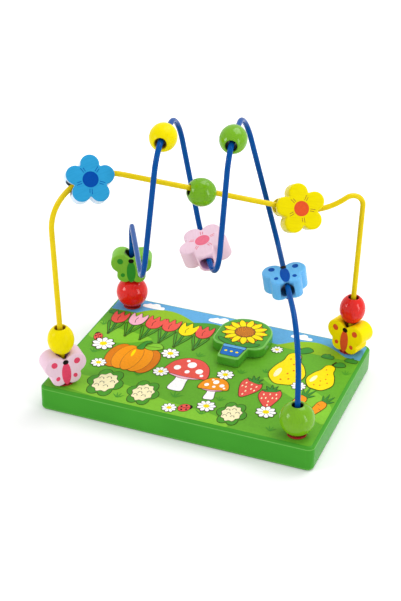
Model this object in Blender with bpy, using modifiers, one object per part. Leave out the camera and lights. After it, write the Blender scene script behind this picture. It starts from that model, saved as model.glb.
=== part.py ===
"""Bead maze: two bent wires stand on a wooden board and carry fourteen sliding wooden beads.

The yellow wire arches from the front left foot to the back right foot.  The blue wire winds twice
round it on its way from the back left foot to the front right foot.  Each bead is drilled wider than
the wire, so it hangs on a level stretch and stacks on the collar or the bead below it on a leg.

Frame: metres, +X along the board's long side, +Y to the back, +Z up, with the origin in the middle
of the board's underside.
"""

import math
from dataclasses import dataclass

import bmesh
import bpy
from mathutils import Matrix, Vector

MM = 0.001

# Board
BOARD_LENGTH = 210 * MM
BOARD_WIDTH = 147 * MM
BOARD_HEIGHT = 20 * MM
BOARD_CORNER_RADIUS = 5 * MM
BOARD_EDGE_RADIUS = 2.5 * MM

# Wires and their feet
WIRE_DIAMETER = 4 * MM
FOOT_INSET_X = 16 * MM
FOOT_INSET_Y = 13.5 * MM
FOOT_DEPTH = 12 * MM
COLLAR_DIAMETER = 14 * MM
COLLAR_HEIGHT = 0.9 * MM
COLLAR_RIM = 0.3 * MM

# Yellow wire: its feet stand a little further out, and each row is (outwards, above the board)
YELLOW_FOOT_SPREAD = 1.2 * MM
YELLOW_LEFT_SHOULDER = (8.2 * MM, 179 * MM)
YELLOW_DIP = (-25.5 * MM, 118.3 * MM)
YELLOW_RIGHT_SHOULDER = (5.4 * MM, 138.3 * MM)
YELLOW_LEFT_RADIUS = 39 * MM
YELLOW_DIP_RADIUS = 44 * MM
YELLOW_RIGHT_RADIUS = 8.5 * MM

# Blue wire: its two windings, in a frame turned about the middle of the board.  Each rise and fall
# runs between two places, and each place is (along the windings, above the board)
WINDING_ANGLE = math.radians(23)
WINDING_FRONT = 36 * MM
WINDING_BACK = -34 * MM
BLUE_LEFT_ELBOW_HEIGHT = 75 * MM
BLUE_RIGHT_ELBOW_HEIGHT = 78 * MM
BLUE_RIGHT_LEAN = -1.7 * MM
FIRST_RISE = ((-48.7 * MM, 90 * MM), (-38.3 * MM, 193.7 * MM))
FIRST_FALL = ((-24.2 * MM, 189.7 * MM), (-6.8 * MM, 96.5 * MM))
SECOND_RISE = ((3.1 * MM, 88 * MM), (9.6 * MM, 192.6 * MM))
SECOND_FALL = ((23.2 * MM, 190.3 * MM), (50.3 * MM, 87.5 * MM))
TOP_FRONT_RADIUS = 18 * MM
TOP_BACK_RADIUS = 24 * MM
FRONT_BEND_RADIUS = 24 * MM
BACK_BEND_RADIUS = 11 * MM
LEFT_ELBOW_RADIUS = 14 * MM
RIGHT_ELBOW_RADIUS = 38 * MM

# Turned beads: widest diameter and height before drilling
OVAL_BEAD = (19.5 * MM, 23.4 * MM)
ROUND_BEAD = (20.4 * MM, 21.6 * MM)
FOOT_BEAD = (25 * MM, 25 * MM)
BEAD_BORE = 7.6 * MM
BEAD_COUNTERSINK = 0.8 * MM

# Sawn figures: flowers and butterflies cut from one thickness of wood
FIGURE_THICKNESS = 15 * MM
FIGURE_BORE = 10 * MM
FIGURE_EDGE_RADIUS = 0.8 * MM
PETAL_COUNT = 5
PETAL_RADIUS = 6.2 * MM
PETAL_REACH = 11.1 * MM
LARGE_PETAL_RADIUS = 6.6 * MM
LARGE_PETAL_REACH = 11.8 * MM
PETAL_NOTCH_RADIUS = 0.9 * MM
UPPER_WING_PLACE = (7.8 * MM, 4.3 * MM)
UPPER_WING_RADIUS = 8.2 * MM
LOWER_WING_PLACE = (5.3 * MM, -6.3 * MM)
LOWER_WING_RADIUS = 6 * MM
WING_NOTCH_RADIUS = 2 * MM

# Raised plant block on the board, pinned by two hidden dowels
BLOCK_CENTRE = (13 * MM, 33.5 * MM)
BLOCK_THICKNESS = 8 * MM
BLOCK_EDGE_RADIUS = 1.5 * MM
BLOCK_HEIGHT = 60 * MM
CROWN_WIDTH = 42 * MM
CROWN_HEIGHT = 43 * MM
CROWN_TOP_RADIUS = 20 * MM
CROWN_LOWER_RADIUS = 9 * MM
CROWN_NECK_RADIUS = 1.5 * MM
CROWN_UNDERSIDE_RISE = 2 * MM
POT_TOP_WIDTH = 20 * MM
POT_FOOT_WIDTH = 17 * MM
POT_CORNER_RADIUS = 3 * MM
DOWEL_DIAMETER = 4 * MM
DOWEL_LENGTH = 11 * MM
DOWEL_SPACING = 30 * MM

# Where each hanging bead rests: distance along its stretch from the corner before it
GREEN_ROUND_REST = 113.5 * MM
YELLOW_EGG_REST = 21.7 * MM
GREEN_EGG_REST = 19.2 * MM
PINK_FLOWER_REST = 23 * MM
BLUE_BUTTERFLY_REST = 51 * MM

# The blue flower sits this far round its bend, and the yellow one this far past the start of the dip
BLUE_FLOWER_TURN = math.radians(75)
YELLOW_FLOWER_REST = 0.8 * MM

# The yellow flower's bore follows the wire into the dip: it is tilted and lifted by this much
YELLOW_FLOWER_TILT = math.radians(6)
YELLOW_FLOWER_LIFT = 0.3 * MM

# How loose beads lie askew, in shares of the play in their bores: a tilt lifts one end of the bore, a
# swing turns it to the face, and a drop or a lift moves its middle off the wire's
EGG_TILT = 0.725239
EGG_DROP = 7 / 15
YELLOW_FLOWER_SWING = 0.587290
PINK_FLOWER_TILT = -0.342586
PINK_FLOWER_SWING = 0.489408
PINK_FLOWER_DROP = 4 / 9
PINK_FLOWER_LEAN = math.radians(19)
BLUE_FLOWER_SWING = -1.525319

# Which way each butterfly on a leg faces: degrees from the front, anticlockwise from above
PINK_BUTTERFLY_FACE = 45
YELLOW_BUTTERFLY_FACE = -18
GREEN_BUTTERFLY_FACE = 20

# Clearances
FIT_GAP = 0.3 * MM
SEAT_GAP = 0.3 * MM
COLLAR_FIT_GAP = 0.5 * MM

# Facets
ARC_STEP = math.radians(12)
TURNED_STEPS = 24
BEAD_SIDE_STEPS = 8
WIRE_BEVEL_RESOLUTION = 3

# Finishes: linear colour and roughness
GREEN_LACQUER = ((0.085, 0.36, 0.04), 0.3)
YELLOW_LACQUER = ((0.9, 0.72, 0.01), 0.35)
RED_LACQUER = ((0.72, 0.05, 0.04), 0.3)
LEAF_LACQUER = ((0.19, 0.5, 0.03), 0.35)
SKY_LACQUER = ((0.09, 0.42, 0.78), 0.4)
PINK_LACQUER = ((0.84, 0.62, 0.72), 0.45)
YELLOW_COAT = ((0.85, 0.62, 0.01), 0.3)
BLUE_COAT = ((0.005, 0.07, 0.35), 0.3)
BARE_BEECH = ((0.62, 0.42, 0.24), 0.6)

UP = Vector((0, 0, 1))
FRONT = Vector((0, -1, 0))
LEFT = Vector((-1, 0, 0))
TOWARDS_CHILD = Vector((0.31, -0.81, 0.5))

# Worked-out sizes
WIRE_RADIUS = WIRE_DIAMETER / 2
FOOT_X = BOARD_LENGTH / 2 - FOOT_INSET_X
FOOT_Y = BOARD_WIDTH / 2 - FOOT_INSET_Y
COLLAR_TOP = BOARD_HEIGHT + FIT_GAP + COLLAR_HEIGHT
BEAD_SLACK = BEAD_BORE / 2 - WIRE_RADIUS - FIT_GAP
FIGURE_SLACK = FIGURE_BORE / 2 - WIRE_RADIUS - FIT_GAP
SMALL_FLOWER = (PETAL_RADIUS, PETAL_REACH)
LARGE_FLOWER = (LARGE_PETAL_RADIUS, LARGE_PETAL_REACH)


@dataclass(frozen=True)
class Bend:
    """A corner of a bent wire: where its straight stretches would meet, and its bend radius."""

    corner: Vector
    radius: float = 0.0


@dataclass(frozen=True)
class Arc:
    """The rounded corner between two straight stretches."""

    centre: Vector
    start_arm: Vector
    side_arm: Vector
    turn: float

    def point(self, angle):
        """The point on the arc at this angle from its start."""
        return self.centre + self.start_arm * math.cos(angle) + self.side_arm * math.sin(angle)

    def tangent(self, angle):
        """The direction of travel at this angle from the start."""
        return (self.side_arm * math.cos(angle) - self.start_arm * math.sin(angle)).normalized()

    def points(self):
        """Evenly spaced points from the arc's start to its end."""
        count = max(2, math.ceil(self.turn / ARC_STEP))
        return [self.point(self.turn * index / count) for index in range(count + 1)]


def corner_arc(before, corner, after, radius):
    """The arc of this radius that rounds a corner between two neighbours."""
    back = (before - corner).normalized()
    ahead = (after - corner).normalized()
    opening = back.angle(ahead)
    start = corner + back * (radius / math.tan(opening / 2))
    centre = corner + (back + ahead).normalized() * (radius / math.sin(opening / 2))
    return Arc(centre, start - centre, -back * radius, math.pi - opening)


def wire_arcs(bends):
    """The arcs at a wire's inner bends, in order."""
    inner = zip(bends, bends[1:], bends[2:])
    return [corner_arc(a.corner, b.corner, c.corner, b.radius) for a, b, c in inner]


def wire_points(bends):
    """The wire's centre line from one foot to the other."""
    points = [bends[0].corner]
    for arc in wire_arcs(bends):
        points.extend(arc.points())
    points.append(bends[-1].corner)
    return points


def rounded_outline(corners, radii):
    """A closed flat outline whose corners are rounded to these radii."""
    points = []
    count = len(corners)
    for index, radius in enumerate(radii):
        before = corners[index - 1]
        after = corners[(index + 1) % count]
        points.extend(corner_arc(before, corners[index], after, radius).points())
    return points


def lobed_outline(lobes, notch_radius):
    """A closed flat outline of round lobes, given anticlockwise, with a rounded notch between each two."""
    notches = []
    for (first, first_radius), (second, second_radius) in zip(lobes, lobes[1:] + lobes[:1]):
        span = second - first
        reach = first_radius + notch_radius
        other_reach = second_radius + notch_radius
        along = (reach**2 - other_reach**2 + span.length_squared) / (2 * span.length)
        outward = Vector((span.y, -span.x, 0)).normalized()
        notches.append(first + span.normalized() * along + outward * math.sqrt(reach**2 - along**2))
    points = []
    for index, (centre, radius) in enumerate(lobes):
        notch = notches[index]
        following = lobes[(index + 1) % len(lobes)][0]
        lobe = sweep(centre, radius, notches[index - 1] - centre, notch - centre, anticlockwise=True)
        hollow = sweep(notch, notch_radius, centre - notch, following - notch, anticlockwise=False)
        points.extend(lobe[:-1] + hollow[:-1])
    return points


def sweep(centre, radius, start, end, anticlockwise):
    """Points on a flat circle from one direction to another."""
    first = math.atan2(start.y, start.x)
    turn = (math.atan2(end.y, end.x) - first) % math.tau
    if not anticlockwise:
        turn -= math.tau
    count = max(2, math.ceil(abs(turn) / (1.5 * ARC_STEP)))
    angles = [first + turn * index / count for index in range(count + 1)]
    return [centre + Vector((math.cos(angle), math.sin(angle), 0)) * radius for angle in angles]


def clear_scene():
    """Remove every object so that the model starts from nothing."""
    for item in list(bpy.data.objects):
        bpy.data.objects.remove(item, do_unlink=True)


def collection(name):
    """A new collection linked to the scene."""
    group = bpy.data.collections.new(name)
    bpy.context.scene.collection.children.link(group)
    return group


def finish(name, look):
    """A Principled material of one colour and roughness."""
    colour, roughness = look
    material = bpy.data.materials.new(name)
    material.use_nodes = True
    shader = material.node_tree.nodes["Principled BSDF"]
    shader.inputs["Base Color"].default_value = (*colour, 1)
    shader.inputs["Roughness"].default_value = roughness
    shader.inputs["Metallic"].default_value = 0
    return material


def add_object(name, data, group, look=None):
    """Link a new object to its collection and give it its finish."""
    item = bpy.data.objects.new(name, data)
    group.objects.link(item)
    if look is not None:
        data.materials.append(finish(name, look))
    return item


def tube(name, points, diameter, group, look):
    """A wire of round section along these points, closed at both ends."""
    curve = bpy.data.curves.new(name, "CURVE")
    curve.dimensions = "3D"
    curve.bevel_depth = diameter / 2
    curve.bevel_resolution = WIRE_BEVEL_RESOLUTION
    curve.use_fill_caps = True
    spline = curve.splines.new("POLY")
    spline.points.add(len(points) - 1)
    for target, place in zip(spline.points, points):
        target.co = (*place, 1)
    return add_object(name, curve, group, look)


def slab(name, outline, thickness, edge_radius, edge_steps, group, look):
    """A flat piece sawn to an outline in its own X and Y, with eased edges."""
    curve = bpy.data.curves.new(name, "CURVE")
    curve.dimensions = "2D"
    curve.fill_mode = "BOTH"
    curve.extrude = thickness / 2 - edge_radius
    curve.bevel_depth = edge_radius
    curve.bevel_resolution = edge_steps
    curve.offset = -edge_radius
    spline = curve.splines.new("POLY")
    spline.points.add(len(outline) - 1)
    for target, place in zip(spline.points, outline):
        target.co = (place.x, place.y, 0, 1)
    spline.use_cyclic_u = True
    drawing = add_object(f"{name}_drawing", curve, group)
    bpy.context.view_layer.update()
    graph = bpy.context.evaluated_depsgraph_get()
    mesh = bpy.data.meshes.new_from_object(drawing.evaluated_get(graph))
    bpy.data.objects.remove(drawing, do_unlink=True)
    shape = bmesh.new()
    shape.from_mesh(mesh)
    bmesh.ops.remove_doubles(shape, verts=shape.verts, dist=0.01 * MM)
    bmesh.ops.recalc_face_normals(shape, faces=shape.faces)
    shape.to_mesh(mesh)
    shape.free()
    return add_object(name, mesh, group, look)


def turned(name, profile, group, look):
    """A turned piece: a closed profile of (radius, height) spun about Z, drawn down its outer side."""
    mesh = bpy.data.meshes.new(name)
    shape = bmesh.new()
    ring = [shape.verts.new((radius, 0, height)) for radius, height in profile]
    for first, second in zip(ring, ring[1:] + ring[:1]):
        shape.edges.new((first, second))
    shape.to_mesh(mesh)
    shape.free()
    item = add_object(name, mesh, group, look)
    spin = item.modifiers.new("turned", "SCREW")
    spin.steps = TURNED_STEPS
    spin.render_steps = TURNED_STEPS
    spin.use_merge_vertices = True
    spin.merge_threshold = 0.01 * MM
    spin.use_smooth_shade = True
    return item


def drill(item, radius, start, end, group):
    """Cut a round hole between two points of the scene out of a piece."""
    axis = end - start
    mesh = bpy.data.meshes.new(f"{item.name}_drill")
    shape = bmesh.new()
    bmesh.ops.create_cone(
        shape,
        cap_ends=True,
        segments=TURNED_STEPS,
        radius1=radius,
        radius2=radius,
        depth=axis.length,
    )
    shape.to_mesh(mesh)
    shape.free()
    cutter = add_object(f"{item.name}_drill_{len(item.modifiers)}", mesh, group)
    turn = axis.to_track_quat("Z", "Y").to_matrix().to_4x4()
    cutter.matrix_world = Matrix.Translation((start + end) / 2) @ turn
    cutter.hide_render = True
    cutter.display_type = "WIRE"
    cut = item.modifiers.new("drilled", "BOOLEAN")
    cut.operation = "DIFFERENCE"
    cut.object = cutter


def pose(place, bore, face):
    """A frame at a place whose Z runs along the bore and whose Y looks the way that the piece faces."""
    z_axis = bore.normalized()
    x_axis = z_axis.cross(face).normalized() * -1
    y_axis = z_axis.cross(x_axis)
    turn = Matrix((x_axis, y_axis, z_axis)).transposed()
    return Matrix.Translation(place) @ turn.to_4x4()


def hang(point, along, slack):
    """Where a bore's centre lies when the bead hangs on a stretch of wire by its slack."""
    down = -UP - along * (-UP).dot(along)
    return point + down.normalized() * slack


def yellow_bends():
    """The yellow wire's bends, foot to foot."""
    left_foot = Vector((-FOOT_X, -FOOT_Y, 0))
    line = (left_foot * -2).normalized()
    base = Vector((0, 0, BOARD_HEIGHT))

    reach = left_foot.length

    def left(outwards, height):
        return base - line * (reach + outwards) + UP * height

    def right(outwards, height):
        return base + line * (reach + outwards) + UP * height

    return [
        Bend(left(YELLOW_FOOT_SPREAD, -FOOT_DEPTH)),
        Bend(left(*YELLOW_LEFT_SHOULDER), YELLOW_LEFT_RADIUS),
        Bend(right(*YELLOW_DIP), YELLOW_DIP_RADIUS),
        Bend(right(*YELLOW_RIGHT_SHOULDER), YELLOW_RIGHT_RADIUS),
        Bend(right(YELLOW_FOOT_SPREAD, -FOOT_DEPTH)),
    ]


def blue_bends():
    """The blue wire's bends, foot to foot, twice round the yellow wire."""
    along = Vector((math.cos(WINDING_ANGLE), math.sin(WINDING_ANGLE), 0))
    front = Vector((along.y, -along.x, 0))
    base = Vector((0, 0, BOARD_HEIGHT))

    def at(place, towards_front):
        return base + along * place[0] + front * towards_front + UP * place[1]

    left_foot = Vector((-FOOT_X, FOOT_Y, BOARD_HEIGHT))
    right_foot = Vector((FOOT_X, -FOOT_Y, BOARD_HEIGHT))
    bends = [
        Bend(left_foot - UP * FOOT_DEPTH),
        Bend(left_foot + UP * BLUE_LEFT_ELBOW_HEIGHT, LEFT_ELBOW_RADIUS),
    ]
    for rise, fall in ((FIRST_RISE, FIRST_FALL), (SECOND_RISE, SECOND_FALL)):
        bends.append(Bend(at(rise[0], WINDING_FRONT), FRONT_BEND_RADIUS))
        bends.append(Bend(at(rise[1], WINDING_FRONT), TOP_FRONT_RADIUS))
        bends.append(Bend(at(fall[0], WINDING_BACK), TOP_BACK_RADIUS))
        bends.append(Bend(at(fall[1], WINDING_BACK), BACK_BEND_RADIUS))
    elbow = right_foot + along * BLUE_RIGHT_LEAN + UP * BLUE_RIGHT_ELBOW_HEIGHT
    bends.append(Bend(elbow, RIGHT_ELBOW_RADIUS))
    bends.append(Bend(right_foot - UP * FOOT_DEPTH))
    return bends


def stretch(bends, index):
    """The corner that a straight stretch leaves and the direction that it takes."""
    start = bends[index].corner
    return start, (bends[index + 1].corner - start).normalized()


def leg(bends, last=False):
    """Where a wire's leg crosses the board's top, and the upward direction of the leg."""
    foot, next_bend = (bends[-1], bends[-2]) if last else (bends[0], bends[1])
    upward = (next_bend.corner - foot.corner).normalized()
    return foot.corner + upward * ((BOARD_HEIGHT - foot.corner.z) / upward.z), upward


def bead_end(size):
    """Half a turned bead's length once its ends are drilled and countersunk."""
    mouth = BEAD_BORE / 2 + BEAD_COUNTERSINK
    return size[1] / 2 * math.sqrt(1 - (2 * mouth / size[0]) ** 2)


def bead_profile(size):
    """A turned bead's closed profile: down its oval side, then up its bore."""
    bore = BEAD_BORE / 2
    end = bead_end(size)
    edge = math.asin(2 * end / size[1])
    angles = [edge - 2 * edge * index / BEAD_SIDE_STEPS for index in range(BEAD_SIDE_STEPS + 1)]
    side = [(size[0] / 2 * math.cos(angle), size[1] / 2 * math.sin(angle)) for angle in angles]
    return side + [(bore, BEAD_COUNTERSINK - end), (bore, end - BEAD_COUNTERSINK)]


def wing_lobes():
    """A butterfly's four wings, anticlockwise from the upper right."""
    upper_x, upper_y = UPPER_WING_PLACE
    lower_x, lower_y = LOWER_WING_PLACE
    return [
        (Vector((upper_x, upper_y, 0)), UPPER_WING_RADIUS),
        (Vector((-upper_x, upper_y, 0)), UPPER_WING_RADIUS),
        (Vector((-lower_x, lower_y, 0)), LOWER_WING_RADIUS),
        (Vector((lower_x, lower_y, 0)), LOWER_WING_RADIUS),
    ]


def petal_lobes(size):
    """A flower's petals, anticlockwise, with the first one along the bore."""
    radius, reach = size
    angles = [math.pi / 2 + math.tau * index / PETAL_COUNT for index in range(PETAL_COUNT)]
    return [(Vector((math.cos(a), math.sin(a), 0)) * reach, radius) for a in angles]


def flower_bore_middle(size):
    """How far the middle of a flower's drilled length lies from its centre, towards the drilled petal."""
    reach = size[1]
    return (reach - reach * math.cos(math.pi / PETAL_COUNT)) / 2


def bead_play(size):
    """How far a turned bead can rock before an end of its bore meets the wire."""
    return math.atan(BEAD_SLACK / bead_end(size))


def flower_play(size, bend_radius=math.inf):
    """How far a flower that hangs on a stretch or a bend can rock before its bore's end meets the wire."""
    radius, reach = size
    end = reach + math.sqrt(radius**2 - (FIGURE_BORE / 2) ** 2) - flower_bore_middle(size)
    fall = end**2 / (2 * bend_radius)
    return math.atan((2 * FIGURE_SLACK - fall) / (2 * end))


def tilted(along, angle):
    """A wire's direction with its far end lifted by an angle."""
    return Matrix.Rotation(angle, 3, along.cross(UP).normalized()) @ along


def swung(along, face, angle):
    """A wire's direction turned by an angle towards the way that a piece on it faces."""
    outward = face - along * face.dot(along)
    return Matrix.Rotation(angle, 3, along.cross(outward).normalized()) @ along


def stacked_distance(size, lobe_place, lobe_radius):
    """How far apart along the bore a turned bead and a butterfly's middle lie when wings touch bead."""
    outline = [(radius, height) for radius, height in bead_profile(size)]

    def gap(distance):
        rows = [math.hypot(r - lobe_place[0], distance + h - abs(lobe_place[1])) for r, h in outline]
        return min(rows) - lobe_radius

    low = abs(lobe_place[1])
    high = low + lobe_radius + size[1]
    for _ in range(40):
        middle = (low + high) / 2
        if gap(middle) < SEAT_GAP:
            low = middle
        else:
            high = middle
    return high


def sawn_figure(name, lobes, notch_radius, frame, groups, look):
    """A flower or butterfly: sawn outline upright in the bore's plane, drilled along its own Z."""
    parts, cutters = groups
    outline = lobed_outline(lobes, notch_radius)
    item = slab(name, outline, FIGURE_THICKNESS, FIGURE_EDGE_RADIUS, 0, parts, look)
    stand = Matrix.Rotation(math.pi / 2, 4, "X")
    item.data.transform(stand)
    item.matrix_world = frame
    longest = max(centre.length + radius for centre, radius in lobes)
    reach = frame.to_3x3() @ Vector((0, 0, 1.5 * longest))
    drill(item, FIGURE_BORE / 2, frame.translation - reach, frame.translation + reach, cutters)
    return item


def butterfly(name, frame, groups, look):
    """A butterfly with its head towards its own +Z."""
    return sawn_figure(name, wing_lobes(), WING_NOTCH_RADIUS, frame, groups, look)


def flower(name, size, frame, groups, look):
    """A five-petalled flower drilled from a petal's tip to the notch opposite."""
    return sawn_figure(name, petal_lobes(size), PETAL_NOTCH_RADIUS, frame, groups, look)


def bead(name, size, frame, groups, look):
    """A turned bead with its bore along its own Z."""
    item = turned(name, bead_profile(size), groups[0], look)
    item.matrix_world = frame
    return item


def build_board(legs, dowel_places, groups):
    """The board with its wire holes and dowel holes."""
    half_x = BOARD_LENGTH / 2
    half_y = BOARD_WIDTH / 2
    corners = [
        Vector((-half_x, -half_y, 0)),
        Vector((half_x, -half_y, 0)),
        Vector((half_x, half_y, 0)),
        Vector((-half_x, half_y, 0)),
    ]
    outline = rounded_outline(corners, [BOARD_CORNER_RADIUS] * 4)
    board = slab("base_board", outline, BOARD_HEIGHT, BOARD_EDGE_RADIUS, 1, groups[0], GREEN_LACQUER)
    board.location.z = BOARD_HEIGHT / 2
    for foot, upward in legs:
        bottom = foot - upward * (FOOT_DEPTH / upward.z + FIT_GAP)
        drill(board, WIRE_RADIUS + FIT_GAP, bottom, foot + upward * FOOT_DEPTH, groups[1])
    for place in dowel_places:
        bottom = place - UP * (DOWEL_LENGTH / 2 + FIT_GAP)
        drill(board, DOWEL_DIAMETER / 2 + FIT_GAP, bottom, place + UP * DOWEL_LENGTH, groups[1])
    return board


def build_block(dowel_places, groups):
    """The raised block, a round plant in a pot, and its two dowels."""
    half_crown = CROWN_WIDTH / 2
    half_rim = POT_TOP_WIDTH / 2
    half_foot = POT_FOOT_WIDTH / 2
    top = BLOCK_HEIGHT / 2
    neck = top - CROWN_HEIGHT
    underside = neck + CROWN_UNDERSIDE_RISE
    right = [(half_foot, -top), (half_rim, neck), (half_crown, underside), (half_crown, top)]
    lower_radius = min(CROWN_LOWER_RADIUS, half_crown - half_rim - CROWN_NECK_RADIUS)
    top_radius = min(CROWN_TOP_RADIUS, half_crown - BLOCK_EDGE_RADIUS / 2)
    radii = [POT_CORNER_RADIUS, CROWN_NECK_RADIUS, lower_radius, top_radius]
    left = [(-x, y) for x, y in reversed(right)]
    corners = [Vector((x, y, 0)) for x, y in right + left]
    outline = rounded_outline(corners, radii + radii[::-1])
    block = slab("plant_block", outline, BLOCK_THICKNESS, BLOCK_EDGE_RADIUS, 1, groups[0], LEAF_LACQUER)
    block.location = (*BLOCK_CENTRE, BOARD_HEIGHT + FIT_GAP + BLOCK_THICKNESS / 2)
    for number, place in enumerate(dowel_places, start=1):
        depth = DOWEL_LENGTH / 2 + FIT_GAP
        drill(block, DOWEL_DIAMETER / 2 + FIT_GAP, place - UP * DOWEL_LENGTH, place + UP * depth, groups[1])
        half = UP * (DOWEL_LENGTH / 2)
        tube(f"block_dowel_{number}", [place - half, place + half], DOWEL_DIAMETER, groups[0], BARE_BEECH)


def build_collars(legs, groups):
    """A red collar round each wire where it leaves the board."""
    outer = COLLAR_DIAMETER / 2
    inner = WIRE_RADIUS + COLLAR_FIT_GAP
    half = COLLAR_HEIGHT / 2
    profile = [
        (inner, half),
        (outer - COLLAR_RIM, half),
        (outer, half - COLLAR_RIM),
        (outer, -half),
        (inner, -half),
    ]
    place_names = ("front_left", "back_right", "back_left", "front_right")
    for place_name, (foot, upward) in zip(place_names, legs):
        collar = turned(f"{place_name}_collar", profile, groups[0], RED_LACQUER)
        middle = (COLLAR_TOP - BOARD_HEIGHT) - half
        collar.location = foot + upward * (middle / upward.z)


def leg_frame(foot_and_up, distance, face):
    """A bead's frame on a wire's leg, this far above the board's top."""
    foot, upward = foot_and_up
    return pose(foot + upward * distance, upward, face)


def turned_face(degrees):
    """A level direction this far round from the front, anticlockwise from above."""
    return Matrix.Rotation(math.radians(degrees), 3, "Z") @ FRONT


def build_leg_beads(legs, groups):
    """The stacks that rest on the collars at the four feet."""
    on_collar = COLLAR_TOP - BOARD_HEIGHT + SEAT_GAP
    butterfly_rest = on_collar + LOWER_WING_RADIUS - LOWER_WING_PLACE[1]
    oval_rest = butterfly_rest + stacked_distance(OVAL_BEAD, UPPER_WING_PLACE, UPPER_WING_RADIUS)
    foot_bead_rest = on_collar + bead_end(FOOT_BEAD)
    top_rest = foot_bead_rest + stacked_distance(FOOT_BEAD, LOWER_WING_PLACE, LOWER_WING_RADIUS)
    front_left, back_right, back_left, front_right = legs
    for name, where, rest, face, look in (
        ("pink_butterfly", front_left, butterfly_rest, PINK_BUTTERFLY_FACE, PINK_LACQUER),
        ("yellow_butterfly", back_right, butterfly_rest, YELLOW_BUTTERFLY_FACE, YELLOW_LACQUER),
        ("green_butterfly", back_left, top_rest, GREEN_BUTTERFLY_FACE, LEAF_LACQUER),
    ):
        butterfly(name, leg_frame(where, rest, turned_face(face)), groups, look)
    for name, size, where, rest, look in (
        ("yellow_leg_bead", OVAL_BEAD, front_left, oval_rest, YELLOW_LACQUER),
        ("red_leg_bead", OVAL_BEAD, back_right, oval_rest, RED_LACQUER),
        ("red_foot_bead", FOOT_BEAD, back_left, foot_bead_rest, RED_LACQUER),
        ("green_foot_bead", FOOT_BEAD, front_right, foot_bead_rest, LEAF_LACQUER),
    ):
        bead(name, size, leg_frame(where, rest, FRONT), groups, look)


def build_yellow_beads(bends, groups):
    """The beads on the yellow wire's arch: a flower on the bend, a round bead and a flower after it."""
    bend = wire_arcs(bends)[0]
    along = bend.tangent(BLUE_FLOWER_TURN)
    point = bend.point(BLUE_FLOWER_TURN)
    pivot = add_object("blue_flower_pivot", None, groups[0])
    pivot.location = bend.centre
    bpy.context.view_layer.update()
    play = flower_play(SMALL_FLOWER, YELLOW_LEFT_RADIUS)
    bore = swung(along, TOWARDS_CHILD, BLUE_FLOWER_SWING * play)
    place = hang(point, along, FIGURE_SLACK) - bore * flower_bore_middle(SMALL_FLOWER)
    blossom = flower("blue_flower", SMALL_FLOWER, pose(place, bore, TOWARDS_CHILD), groups, SKY_LACQUER)
    blossom.parent = pivot
    blossom.matrix_parent_inverse = pivot.matrix_world.inverted()

    corner, slope = stretch(bends, 1)
    place = hang(corner + slope * GREEN_ROUND_REST, slope, BEAD_SLACK)
    bead("green_round_bead", ROUND_BEAD, pose(place, slope, FRONT), groups, LEAF_LACQUER)

    swing = YELLOW_FLOWER_SWING * flower_play(LARGE_FLOWER)
    bore = -swung(tilted(slope, YELLOW_FLOWER_TILT), FRONT, swing)
    dip = wire_arcs(bends)[1]
    middle = dip.point(0) + slope * YELLOW_FLOWER_REST + UP * YELLOW_FLOWER_LIFT
    place = middle - bore * flower_bore_middle(LARGE_FLOWER)
    flower("yellow_flower", LARGE_FLOWER, pose(place, bore, TOWARDS_CHILD), groups, YELLOW_LACQUER)


def build_blue_beads(bends, groups):
    """The beads on the blue wire's windings: two ovals on top, a flower below and a butterfly."""
    for name, index, rest, look in (
        ("yellow_egg_bead", 3, YELLOW_EGG_REST, YELLOW_LACQUER),
        ("green_egg_bead", 7, GREEN_EGG_REST, LEAF_LACQUER),
    ):
        corner, along = stretch(bends, index)
        place = hang(corner + along * rest, along, EGG_DROP * BEAD_SLACK)
        bore = tilted(along, EGG_TILT * bead_play(OVAL_BEAD))
        bead(name, OVAL_BEAD, pose(place, bore, UP), groups, look)

    corner, along = stretch(bends, 5)
    play = flower_play(LARGE_FLOWER)
    bore = swung(tilted(along, PINK_FLOWER_TILT * play), LEFT, PINK_FLOWER_SWING * play)
    middle = hang(corner + along * PINK_FLOWER_REST, along, PINK_FLOWER_DROP * FIGURE_SLACK)
    place = middle - bore * flower_bore_middle(LARGE_FLOWER)
    face = UP * math.cos(PINK_FLOWER_LEAN) + LEFT * math.sin(PINK_FLOWER_LEAN)
    flower("pink_flower", LARGE_FLOWER, pose(place, bore, face), groups, PINK_LACQUER)

    corner, along = stretch(bends, 9)
    place = hang(corner + along * BLUE_BUTTERFLY_REST, along, FIGURE_SLACK)
    butterfly("blue_butterfly", pose(place, -along, UP + Vector((-0.18, 0, 0))), groups, SKY_LACQUER)


def main():
    """Build the bead maze and group it under one empty."""
    clear_scene()
    groups = (collection("bead_maze"), collection("cutters"))
    yellow = yellow_bends()
    blue = blue_bends()
    legs = [leg(yellow), leg(yellow, last=True), leg(blue), leg(blue, last=True)]
    centre = Vector((*BLOCK_CENTRE, BOARD_HEIGHT))
    step = Vector((0, DOWEL_SPACING / 2, 0))
    dowel_places = [centre - step, centre + step]
    build_board(legs, dowel_places, groups)
    build_block(dowel_places, groups)
    tube("yellow_wire", wire_points(yellow), WIRE_DIAMETER, groups[0], YELLOW_COAT)
    tube("blue_wire", wire_points(blue), WIRE_DIAMETER, groups[0], BLUE_COAT)
    build_collars(legs, groups)
    build_leg_beads(legs, groups)
    build_yellow_beads(yellow, groups)
    build_blue_beads(blue, groups)
    root = add_object("bead_maze_root", None, groups[0])
    for item in groups[0].objects:
        if item is not root and item.parent is None:
            item.parent = root


main()
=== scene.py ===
"""Looks of a bead maze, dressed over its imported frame.

Two coated wires stand on a lacquered board and carry turned beads, sawn butterflies and sawn flowers.
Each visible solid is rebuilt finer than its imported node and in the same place. The board and the
raised block carry a printed garden picture in thin layers of ink. Lengths are in millimetres until a
mesh is placed, when they become metres.
"""

from __future__ import annotations

import logging
import math
from collections.abc import Callable, Sequence
from dataclasses import dataclass, field
from enum import Enum

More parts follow.
